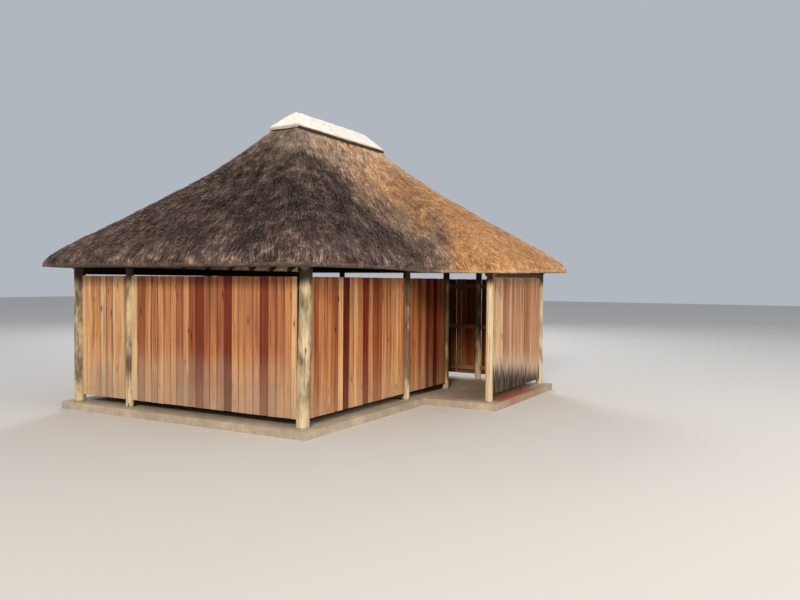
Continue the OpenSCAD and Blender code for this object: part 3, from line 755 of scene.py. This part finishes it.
def with_knots(r, A, Z, radius, top, rng):
    """The radius with swollen knots, sunk at their hearts."""
    for _ in range(rng.integers(3, 6)):
        at_angle = rng.uniform(0, 2 * math.pi)
        at_height = rng.uniform(SLAB + 0.2, top - 0.1)
        size = rng.uniform(0.018, 0.032)
        sideways = np.angle(np.exp(1j * (A - at_angle))) * radius
        away = np.sqrt(sideways ** 2 + ((Z - at_height) * 0.7) ** 2)
        r = r + 0.006 * np.exp(-(away / size) ** 2) - 0.008 * np.exp(-(away / (size * 0.35)) ** 2)
    return r


def with_cracks(r, A, Z, radius, seed, rng):
    """The radius with long drying cracks that wander a little."""
    for _ in range(rng.integers(3, 5)):
        at_angle = rng.uniform(0, 2 * math.pi)
        foot = rng.uniform(SLAB - 0.2, SLAB + 0.9)
        length = rng.uniform(0.5, 1.3)
        path = at_angle + 0.10 * noise(Z * 2.0, 0.0, 0.0, seed + 7)
        sideways = np.abs(np.angle(np.exp(1j * (A - path)))) * radius
        fade = smooth(Z, foot, foot + 0.15) * (1 - smooth(Z, foot + length - 0.2, foot + length))
        r = r - 0.009 * fade * np.clip(1 - sideways / 0.0048, 0, 1)
    return r


def grown_pole(name, x, y, radius, top, seed, node, worn, lean):
    """A peeled post: tapered, a little crooked, with knots and drying cracks."""
    rng = np.random.default_rng(seed)
    rows = int((top - SLAB) / POLE_ROW)
    t = np.linspace(0, 1, rows + 1)
    A, T = np.meshgrid(np.arange(POLE_SIDES) * 2 * math.pi / POLE_SIDES, t)
    Z = SLAB + T * (top - SLAB)
    r = radius * (1.0 - POLE_TAPER * T) - POLE_SMALLER
    r = r + radius * POLE_UNEVEN * noise(np.cos(A) * 1.1 + seed, np.sin(A) * 1.1, Z * 1.7, seed)
    r = r + 0.0016 * noise(A * 9, 0.0, Z * 3.0, seed + 1)
    r = with_knots(r, A, Z, radius, top, rng)
    r = with_cracks(r, A, Z, radius, seed, rng)
    bend = THICK_BEND if radius > THICK_POLE else THIN_BEND
    bend_x = bend * noise(t * 1.6 + seed * 0.37, 0.0, 0.0, seed + 3) * np.sin(math.pi * t)
    bend_y = bend * noise(t * 1.6 + seed * 0.37, 5.0, 0.0, seed + 4) * np.sin(math.pi * t)
    X = x + bend_x[:, None] + lean[0] * T + r * np.cos(A)
    Y = y + bend_y[:, None] + lean[1] * T + r * np.sin(A)
    verts = np.stack([X, Y, Z], -1).reshape(-1, 3)
    grain = np.stack([A * radius, Z, np.full_like(Z, seed * 0.731)], -1).reshape(-1, 3)
    obj = make_mesh(name, verts, tube_faces(rows + 1, POLE_SIDES), POST, True,
                    [("grain", grain), ("pole", np.full((len(verts), 3), worn))])
    settle(obj, "post_wood", node)


def posts():
    for seed, (node, worn) in enumerate(POSTS.items(), 3):
        low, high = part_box(node)
        grown_pole(node.replace("_post", "_pole"), (low.x + high.x) / 2, (low.y + high.y) / 2,
                   (high.x - low.x) / 2, high.z, seed, node, worn, LEAN.get(node, (0.0, 0.0)))


# Thatch. Rows of points under the cap, down the slope, over the cut end, under it and up the ceiling.
ROWS_CAP, ROWS_OUT, ROWS_END, ROWS_FLAT, ROWS_IN = 4, 118, 6, 5, 14
STATION = 0.0235
# How far the top edge and the lip of the cut end lie inside the solid's, and the lip above it
TOP_EDGE_IN, LIP_FURTHER_IN, EDGE_UP = 0.016, 0.012, 0.014
# Depth and reach of the rounded shoulder at the eave
SHOULDER, SHOULDER_REACH = 0.042, 0.17
CAP_GROOVE, GROOVE_REACH, SUNK = 0.026, 0.07, 0.012
# How far the strands fan out beside a hip and before the step, and how wide the painted highlight along a hip
# is
FAN, STEP_FAN, HIP_BAND = 0.75, 1.7, 0.36
# Rise of the slope's outward direction for the relief and for the loose stems
RELIEF_RISE, STEM_RISE = 1.25, 1.2
# Metres of eave for each hanging stem, and loose stems for each metre of eave
FRINGE_STEP, STEMS = 0.0032, 3300
# The surface that g * (1 - g) ** 2 shapes is HOLLOW deep at its deepest
HOLLOW_SCALE = 6.75

Corner = namedtuple("Corner", "centre radius way")
Arc = namedtuple("Arc", "name corner start stop ridge_x")
Span = namedtuple("Span", "name sort first last")
Roof = namedtuple("Roof", "along normal outer edge_z")


def corner(x, y, radius, way):
    """A rounded corner of the eave. way is 1 where it turns outwards and -1 where it turns inwards."""
    return Corner(np.array([x, y]), radius, way)


BACK_LEFT = corner(-HALF_X + CORNER_BEND, HALF_Y - CORNER_BEND, CORNER_BEND, 1)
FRONT_LEFT = corner(-HALF_X + CORNER_BEND, NOTCH_Y + CORNER_BEND, CORNER_BEND, 1)
STEP_IN = corner(STEP_X - STEP_BEND, NOTCH_Y - STEP_BEND, STEP_BEND, -1)
STEP_OUT = corner(STEP_X + STEP_BEND, -HALF_Y + STEP_BEND, STEP_BEND, 1)
FRONT_RIGHT = corner(HALF_X - CORNER_BEND, -HALF_Y + CORNER_BEND, CORNER_BEND, 1)
BACK_RIGHT = corner(HALF_X - CORNER_BEND, HALF_Y - CORNER_BEND, CORNER_BEND, 1)


def bearing(c, ridge_x):
    """Direction from an end of the ridge to a corner's centre, in degrees."""
    return math.degrees(math.atan2(c.centre[1], c.centre[0] - ridge_x)) % 360


VALLEY = bearing(STEP_IN, RIDGE_HALF) - 180
# Arcs of the eave, round the roof: slope, corner, from angle, to angle, end of the ridge
ARCS = [
    Arc("left_thatch", BACK_LEFT, bearing(BACK_LEFT, -RIDGE_HALF), 180, -RIDGE_HALF),
    Arc("left_thatch", FRONT_LEFT, 180, bearing(FRONT_LEFT, -RIDGE_HALF), -RIDGE_HALF),
    Arc("front_left_thatch", FRONT_LEFT, bearing(FRONT_LEFT, -RIDGE_HALF), 270, -RIDGE_HALF),
    Arc("front_left_thatch", STEP_IN, 90, VALLEY, RIDGE_HALF),
    Arc("front_right_thatch", STEP_IN, VALLEY, 0, RIDGE_HALF),
    Arc("front_right_thatch", STEP_OUT, 180, 270, RIDGE_HALF),
    Arc("front_right_thatch", FRONT_RIGHT, 270, bearing(FRONT_RIGHT, RIDGE_HALF), RIDGE_HALF),
    Arc("right_thatch", FRONT_RIGHT, bearing(FRONT_RIGHT, RIDGE_HALF), 360, RIDGE_HALF),
    Arc("right_thatch", BACK_RIGHT, 0, bearing(BACK_RIGHT, RIDGE_HALF), RIDGE_HALF),
    Arc("back_thatch", BACK_RIGHT, bearing(BACK_RIGHT, RIDGE_HALF), 90, RIDGE_HALF),
    Arc("back_thatch", BACK_LEFT, 90, bearing(BACK_LEFT, -RIDGE_HALF), -RIDGE_HALF),
]


def arc_point(arc, degrees):
    """Eave point, outward direction and ridge point at an angle of an arc."""
    d = np.array([math.cos(math.radians(degrees)), math.sin(math.radians(degrees))])
    return arc.corner.centre + arc.corner.radius * d, arc.corner.way * d, np.array([arc.ridge_x, 0.0])


def stations():
    """Eave points round the roof, their outward directions and ridge points, and the spans they form."""
    points, spans = [], []
    for arc, following in zip(ARCS, ARCS[1:] + [None]):
        turn = arc.stop - arc.start
        steps = max(2, int(math.ceil(abs(math.radians(turn)) * arc.corner.radius / STATION)))
        first = len(points)
        for i in range(steps + 1):
            points.append(arc_point(arc, arc.start + turn * i / steps))
        sort = "hip" if arc.corner.radius == CORNER_BEND else "step"
        spans.append(Span(arc.name, sort, first, len(points) - 1))
        if following and following.name == arc.name:
            e0, outward, r0 = arc_point(arc, arc.stop)
            e1, _, r1 = arc_point(following, following.start)
            steps = max(1, int(np.linalg.norm(e1 - e0) / STATION))
            first = len(points) - 1
            for i in range(1, steps):
                points.append((e0 + (e1 - e0) * (i / steps), outward, r0 + (r1 - r0) * (i / steps)))
            spans.append(Span(arc.name, "straight", first, len(points)))
    eave, normal, ridge = (np.array(column) for column in zip(*points))
    return eave, normal, ridge, spans


def cap_share(e):
    """Share of the way from the ridge to the eave points e that the cap covers."""
    return np.minimum(CAP_FOOT / np.maximum(np.abs(e[..., 1]), 1e-6),
                      CAP_END / np.maximum(np.abs(e[..., 0]) - RIDGE_HALF, 0.001))


def outer_height(e, t):
    """Height of the outer surface, t of the way from the ridge to the eave points e."""
    t0 = cap_share(e)
    f = (t - t0) / (1 - t0)
    under_cap = THATCH_TOP + (CAP_Z - THATCH_TOP) * t / t0
    g = np.clip(f, 0, 1)
    open_air = CAP_Z + (EAVE_Z + EAVE_END - CAP_Z) * g - HOLLOW * HOLLOW_SCALE * g * (1 - g) ** 2
    return np.where(f < 0, under_cap, open_air)


def sag(x, y, t):
    """How far the front eave hangs down, most beside the step."""
    return np.where(y < 0, DROOP * np.exp(-((x - STEP_X) / DROOP_REACH) ** 2) * t ** 6, 0)


def slope_rows(eave, normal, ridge):
    """Rows down the outer surface: share of the way to the eave, places, heights, way down from the eave."""
    t0 = cap_share(eave)[:, None]
    cap_rows = np.linspace(0.01, 1, ROWS_CAP + 1)[:-1]
    out_rows = np.linspace(0, 1, ROWS_OUT)
    t = np.concatenate([cap_rows[None, :] * t0, t0 + (1 - t0) * out_rows[None, :]], axis=1)
    top_edge = eave - normal * TOP_EDGE_IN
    plan = ridge[:, None, :] + (top_edge - ridge)[:, None, :] * t[..., None]
    height = outer_height(eave[:, None, :], t) - sag(plan[..., 0], plan[..., 1], t)
    step = np.sqrt(np.sum(np.diff(plan, axis=1) ** 2, -1) + np.diff(height, axis=1) ** 2)
    down = np.concatenate([np.zeros((len(eave), 1)), np.cumsum(step, axis=1)], axis=1)
    return t, plan, height, down - down[:, -1:]


def combed_lines(eave, along, spans, plan):
    """Place across the strands, which run straight down the slope and fan out beside the hips, and the
    nearness of a hip."""
    lines = np.repeat(along[:, None], plan.shape[1], axis=1)
    hips = np.zeros(lines.shape)
    for k, (_, sort, a, b) in enumerate(spans):
        s = slice(a, b + 1)
        if sort != "straight":
            hips[s] = np.maximum(hips[s], sort == "hip")
            continue
        before, after = spans[k - 1].sort, spans[k + 1].sort
        way = (eave[b] - eave[a]) / np.linalg.norm(eave[b] - eave[a])
        flat = along[a] + (plan[s] - eave[a]) @ way
        left = (plan[s] - plan[a][None]) @ way
        right = (plan[b][None] - plan[s]) @ way
        reach = STEP_FAN if after == "step" else FAN
        fanned = np.maximum(np.exp(-(left / FAN) ** 2), np.exp(-(right / reach) ** 2))
        lines[s] = flat * (1 - fanned) + lines[s] * fanned
        hips[s] = np.maximum(hips[s], np.exp(-(left / HIP_BAND) ** 2) * (before == "hip"))
        hips[s] = np.maximum(hips[s], np.exp(-(right / HIP_BAND) ** 2) * (after == "hip"))
    return lines, hips


def combed_relief(eave, t, plan, height, down, lines):
    """Relief of the grass: strands and tufts, lumps of three sizes, and a groove under the cap's edge."""
    x, y = plan[..., 0], plan[..., 1]
    spacing = np.linalg.norm(np.gradient(plan, axis=0), axis=-1)
    loose = np.clip(spacing / 0.012, 0.15, 1)
    strands = 0.0060 * noise(lines * 13, down * 1.8, 0, 5)
    tufts = 0.0075 * noise(lines * 33, down * 7.0, 0, 6)
    relief = (strands + tufts) * loose
    for size, scale, seed in ((0.010, 3.6, 8), (0.016, 1.1, 9), (0.0075, 17, 10)):
        relief = relief + size * lumps(x, y, height, scale, seed)
    relief = (relief - SUNK) * smooth(t / cap_share(eave)[:, None], 0.9, 1.15)
    below_cap = down - down[:, ROWS_CAP:ROWS_CAP + 1]
    return relief - CAP_GROOVE * np.exp(-(below_cap / GROOVE_REACH) ** 2)


def slope_direction(normal, rise):
    """Unit directions that point outwards and up."""
    return unit(np.concatenate([normal, np.full((len(normal), 1), rise)], -1))


def cut_edge_height(eave, along):
    """Height of the cut end's lower edge, which sags with the eave and is ragged."""
    edge_z = EAVE_Z + EDGE_UP - sag(eave[:, 0], eave[:, 1], 1.0)
    return edge_z + 0.005 * noise(along * 7.0, 0, 0, 16) + 0.004 * noise(along * 31.0, 0, 0, 17)


def cut_end(last_row, lip, edge_z, normal, along):
    """Rows over the ragged cut end, from the slope's last row down to the lip."""
    k = np.linspace(0, 1, ROWS_END + 1)[None, 1:]
    ragged = (noise(along[:, None] * 46, k * 9, 0, 14) * 0.006
              + noise(along[:, None] * 11, k * 2, 0, 15) * 0.005)
    plan = blend(last_row[..., :2], lip[:, None, :], k[..., None])
    return raised(plan + normal[:, None, :] * ragged[..., None], blend(last_row[..., 2], edge_z[:, None], k))


def underside(last_row, lip, inner_edge, along):
    """Rows under the eave, from the lip to the inner edge."""
    k = np.linspace(0, 1, ROWS_FLAT + 1)[None, 1:]
    uneven = 0.004 * noise(along[:, None] * 40, k * 8, 0, 18) * np.sin(math.pi * k)
    plan = blend(lip[:, None, :], inner_edge[:, None, :], k[..., None])
    return raised(plan, blend(last_row[..., 2], EAVE_Z, k) + uneven)


def ceiling(inner_edge, ridge):
    """Rows up the flat inner face, from the inner edge to the ridge."""
    k = np.linspace(1, 0.01, ROWS_IN + 1)[1:]
    plan = ridge[:, None, :] + (inner_edge - ridge)[:, None, :] * k[None, :, None]
    height = np.repeat((CEILING_TOP - (CEILING_TOP - EAVE_Z) * k)[None, :], len(ridge), 0)
    return raised(plan, height)


def keep_inside(points, margin):
    """Holds points inside the roof's outline."""
    points[..., 0] = np.clip(points[..., 0], -HALF_X + margin, HALF_X - margin)
    points[..., 1] = np.clip(points[..., 1], -HALF_Y + margin, HALF_Y - margin)


def thatch():
    """The grass of each slope, closed all round, and its loose stems."""
    eave, normal, ridge, spans = stations()
    along = travel(eave)
    t, plan, height, down = slope_rows(eave, normal, ridge)
    lines, hips = combed_lines(eave, along, spans, plan)
    relief = combed_relief(eave, t, plan, height, down, lines)
    outer = raised(plan, height) + slope_direction(normal, RELIEF_RISE)[:, None, :] * relief[..., None]
    outer[..., 2] -= SHOULDER * np.clip(1 + down / SHOULDER_REACH, 0, 1) ** 2
    lip = eave - normal * (LIP_IN + LIP_FURTHER_IN)
    inner_edge = eave - normal * EAVE_CUT
    edge_z = cut_edge_height(eave, along)
    ends = cut_end(outer[:, -1:], lip, edge_z, normal, along)
    flats = underside(ends[:, -1:], lip, inner_edge, along)
    grid = np.concatenate([outer, ends, flats, ceiling(inner_edge, ridge)], axis=1)
    keep_inside(grid, 0.002)
    # along the strands, down the slope, and 0 to 0.3 for a hip's nearness, or 1 for the cut and the inside
    shown = outer.shape[1]
    hidden = grid.shape[1] - shown
    flow = np.zeros(grid.shape)
    flow[..., 0] = np.concatenate([lines, np.repeat(along[:, None], hidden, 1)], 1)
    flow[..., 1] = np.concatenate([down, np.cumsum(np.full((len(eave), hidden), 0.03), 1)], 1)
    flow[:, :shown, 2] = 0.3 * hips
    flow[:, shown + 1:, 2] = 1.0
    # the spans come in order, so a slope runs from its first span's start to its last one's end
    ranges = {}
    for name, _, first, last in spans:
        ranges[name] = (ranges.get(name, (first, last))[0], last)
    for name, (a, b) in ranges.items():
        faces = tube_faces(b - a + 1, grid.shape[1])
        obj = make_mesh(name.replace("_thatch", "_grass"), grid[a:b + 1].reshape(-1, 3), faces, THATCH, True,
                        [("flow", flow[a:b + 1].reshape(-1, 3))])
        settle(obj, "thatch", name)
    stems(Roof(along, normal, outer, edge_z), ranges)


def spikes(base, tip, width, tone):
    """Thin closed three-sided stems from base points to tips."""
    way = unit(tip - base)
    aside = np.where(np.abs(way[:, 2:]) < 0.9, np.array([[0.0, 0.0, 1.0]]), np.array([[1.0, 0.0, 0.0]]))
    u = unit(np.cross(way, aside))
    v = np.cross(way, u)
    corners = []
    for k in range(3):
        a = 2 * math.pi * k / 3
        corners.append(base + (u * math.cos(a) + v * math.sin(a)) * width[:, None])
    verts = np.stack(corners + [tip], 1).reshape(-1, 3)
    start = np.arange(len(base))[:, None] * 4
    faces = ((0, 1, 3), (1, 2, 3), (2, 0, 3), (2, 1, 0))
    tris = np.concatenate([start + np.array(face)[None, :] for face in faces], 0)
    flow = np.repeat(np.stack([tone * 0, tone * 0, tone], -1), 4, axis=0)
    return verts, tris, flow


def fringe(roof, a, b, rng):
    """Stems that hang from the cut end between two stations."""
    count = int((roof.along[b] - roof.along[a]) / FRINGE_STEP)
    f = np.sort(rng.uniform(a, b - 1e-3, count))
    i = np.minimum(f.astype(int), b - 1)
    share = (f - i)[:, None]
    edge = blend(roof.outer[i, -1], roof.outer[i + 1, -1], share)
    normal = blend(roof.normal[i], roof.normal[i + 1], share)
    bottom = blend(roof.edge_z[i], roof.edge_z[i + 1], share[:, 0])
    base_z = bottom + (edge[:, 2] - bottom) * rng.uniform(0.05, 1.0, count)
    inset = rng.uniform(0.002, 0.026, count)
    base = raised(edge[:, :2] - normal * inset[:, None], base_z)
    reach = rng.uniform(0.002, 0.022, count) + inset
    sideways = np.stack([-normal[:, 1], normal[:, 0]], -1)
    tip = base.copy()
    tip[:, :2] += normal * reach[:, None] + sideways * rng.normal(0, 0.012, count)[:, None]
    hanging = base_z - rng.uniform(0.012, 0.050, count)
    tip[:, 2] = np.maximum(hanging, bottom - rng.uniform(0.0, 0.013, count))
    return spikes(base, tip, rng.uniform(0.0016, 0.0034, count), rng.uniform(0.1, 1.0, count))


def lying_stems(roof, a, b, rng):
    """Stems that lie on the slope between two stations, more of them towards the eave."""
    rows = roof.outer.shape[1]
    count = int((roof.along[b] - roof.along[a]) * STEMS)
    f = rng.uniform(a, b - 1e-3, count)
    row = np.sqrt(rng.uniform(0.004, 1.0, count)) * (rows - 8) + ROWS_CAP
    i = np.minimum(f.astype(int), b - 1)
    j = np.minimum(row, rows - 6).astype(int)
    share = (f - i)[:, None]
    ahead = np.minimum(j + rng.integers(1, 5, count), rows - 1)
    lift = slope_direction(roof.normal[i], STEM_RISE)
    base = blend(roof.outer[i, j], roof.outer[i + 1, j], share) - lift * 0.004
    tip = blend(roof.outer[i, ahead], roof.outer[i + 1, ahead], share)
    tip = tip + lift * rng.uniform(0.003, 0.015, count)[:, None]
    tip[:, :2] += rng.normal(0, 0.010, (count, 2))
    return spikes(base, tip, rng.uniform(0.0018, 0.0046, count), rng.beta(1.3, 1.5, count))


def stems(roof, ranges):
    """Loose stems of each slope as one piece."""
    for seed, (name, (a, b)) in enumerate(ranges.items(), 90):
        rng = np.random.default_rng(seed)
        hanging, lying = fringe(roof, a, b, rng), lying_stems(roof, a, b, rng)
        verts = np.concatenate([hanging[0], lying[0]])
        keep_inside(verts, 0.001)
        tris = np.concatenate([hanging[1], lying[1] + len(hanging[0])])
        flow = np.concatenate([hanging[2], lying[2]])
        obj = make_mesh(name.replace("_thatch", "_stems"), verts, tris, STRAW, False, [("flow", flow)])
        settle(obj, "thatch")


# Ridge cap: points along and across its top, rows down its edge, softness of its arrises
CAP_X, CAP_Y, CAP_ROWS, CAP_SOFT = 150, 56, 6, 0.018
CAP_SMALLER = 0.004


def cap_top(half_l, half_w):
    """Grid of points on the cap's top: sloping faces that meet softly, worn down at the edges."""
    U, V = np.meshgrid(np.linspace(-1, 1, CAP_X), np.linspace(-1, 1, CAP_Y), indexing="ij")
    X = U * (half_l - CAP_SMALLER + 0.004 * noise(V * 3.0, 1.0, 0.0, 31))
    Y = V * (half_w - CAP_SMALLER + 0.004 * noise(U * 7.0, 2.0, 0.0, 32))
    edge_z = CAP_Z + CAP_EDGE
    side = edge_z + (half_w - np.sqrt(Y ** 2 + CAP_SOFT ** 2)) * (CAP_TOP - edge_z) / half_w
    end = edge_z + (half_l - np.abs(X)) * (CAP_TOP - edge_z) / (half_l - CAP_HALF)
    h = np.clip(0.5 + 0.5 * (end - side) / CAP_SOFT, 0, 1)
    Z = end * (1 - h) + side * h - CAP_SOFT * h * (1 - h)
    Z = np.minimum(Z, CAP_TOP - 0.002)
    border = np.minimum((1 - np.abs(U)) * half_l, (1 - np.abs(V)) * half_w)
    Z = Z - 0.010 * np.clip(1 - border / 0.022, 0, 1) ** 2
    uneven = 0.0035 * lumps(X, Y, 0, 7, 33) + 0.0022 * lumps(X, Y, 0, 19, 34)
    Z = Z + uneven * smooth(border, 0.0, 0.03) - 0.003
    return np.stack([X, Y, Z], -1)


def cap_edge_rows(ring):
    """Rows of points from the top's border down to an uneven foot."""
    arc = travel(ring)
    foot = (CAP_Z + 0.003 + 0.006 * (1 + noise(arc * 6.0, 0, 0, 35)) / 2
            + 0.004 * (1 + noise(arc * 21.0, 0, 0, 36)) / 2)
    rows = []
    for q in range(1, CAP_ROWS + 1):
        f = q / CAP_ROWS
        low = ring.copy()
        low[:, 2] = ring[:, 2] * (1 - f) + foot * f
        squeeze = 1 - 0.0035 * math.sin(math.pi * f) - 0.004 * f
        low[:, 0] *= squeeze
        low[:, 1] *= squeeze - 0.010 * f
        rows.append(low)
    return rows


def ridge_cap():
    """A trowelled cement cap with a soft crest, worn arrises and an uneven lower edge."""
    top = cap_top(RIDGE_HALF + CAP_END, CAP_FOOT)
    border = ([(i, 0) for i in range(CAP_X - 1)] + [(CAP_X - 1, j) for j in range(CAP_Y - 1)]
              + [(i, CAP_Y - 1) for i in range(CAP_X - 1, 0, -1)] + [(0, j) for j in range(CAP_Y - 1, 0, -1)])
    count = len(border)
    rows = cap_edge_rows(np.array([top[i, j] for i, j in border]))
    verts = np.concatenate([top.reshape(-1, 3)] + rows + [np.array([[0.0, 0.0, CAP_Z + 0.05]])])
    faces = []
    for i, j in product(range(CAP_X - 1), range(CAP_Y - 1)):
        here = i * CAP_Y + j
        faces.append([here, here + CAP_Y, here + CAP_Y + 1, here + 1])
    ids = [[i * CAP_Y + j for i, j in border]]
    for q in range(CAP_ROWS):
        ids.append([CAP_X * CAP_Y + q * count + k for k in range(count)])
    for upper, lower in zip(ids, ids[1:]):
        for k in range(count):
            after = (k + 1) % count
            faces.append([upper[k], lower[k], lower[after], upper[after]])
    # the hollow underneath closes in a shallow cone
    hub = len(verts) - 1
    for k in range(count):
        faces.append([ids[-1][k], hub, ids[-1][(k + 1) % count]])
    obj = make_mesh("cement_cap", verts, faces, CEMENT, True)
    settle(obj, "ridge_cement", "ridge_cap")


# Camera, floor and light. The camera's place, axes and lens were worked out from the photograph.
CAMERA_PLACE, LENS, SENSOR = (-9.513, -6.508, 1.800), 33.776, 36.0
CAMERA_RIGHT = Vector((0.48626, -0.87378, 0.00753))
CAMERA_UP = Vector((0.01835, 0.01883, 0.99965))
CAMERA_AHEAD = Vector((0.87362, 0.48595, -0.02519))
FLOOR_HALF, FLOOR_COLOUR = 60.0, (0.62, 0.60, 0.57)
SKY_COLOUR, SKY_STRENGTH = (0.80, 0.86, 0.95, 1), 0.55
# Name, place, what it points at, size in metres, power in watts and colour of each lamp
LAMPS = (
    ("key", (-26.0, -11.0, 14.0), (-1.0, -0.5, 1.6), 6.5, 6500.0, (1.0, 0.88, 0.72)),
    ("fill", (-3.0, -18.0, 9.0), (0.5, -1.0, 1.6), 8.0, 1500.0, (1.0, 0.93, 0.85)),
    ("rim", (14.0, 9.0, 11.0), (0.0, 0.0, 2.5), 7.0, 1500.0, (0.95, 0.97, 1.0)),
)


def set_camera(scene):
    data = bpy.data.cameras.new("camera")
    data.sensor_fit = "HORIZONTAL"
    data.sensor_width = SENSOR
    data.lens = LENS
    data.clip_end = 200.0
    camera = put("camera", data)
    turn = Matrix((CAMERA_RIGHT, CAMERA_UP, -CAMERA_AHEAD)).transposed().to_4x4()
    camera.matrix_world = Matrix.Translation(CAMERA_PLACE) @ turn
    scene.camera = camera


def lay_floor():
    h = FLOOR_HALF
    floor = make_mesh("floor", [(-h, -h, 0), (h, -h, 0), (h, h, 0), (-h, h, 0)], [[0, 1, 2, 3]],
                      Shader("floor").done(FLOOR_COLOUR, 0.9), False)


def set_lights(scene):
    world = bpy.data.worlds.new("world")
    world.use_nodes = True
    background = world.node_tree.nodes["Background"]
    background.inputs["Color"].default_value = SKY_COLOUR
    background.inputs["Strength"].default_value = SKY_STRENGTH
    scene.world = world
    for name, place, aim, size, power, colour in LAMPS:
        data = bpy.data.lights.new(name, "AREA")
        data.shape = "DISK"
        data.size = size
        data.energy = power
        data.color = colour
        lamp = put(name, data)
        lamp.location = place
        lamp.rotation_euler = (Vector(aim) - Vector(place)).to_track_quat("-Z", "Y").to_euler()


def studio():
    scene = bpy.context.scene
    scene.view_settings.view_transform = "Standard"
    set_camera(scene)
    lay_floor()
    set_lights(scene)


# Assembly
studio()
finish_nodes()
walls()
posts()
thatch()
ridge_cap()
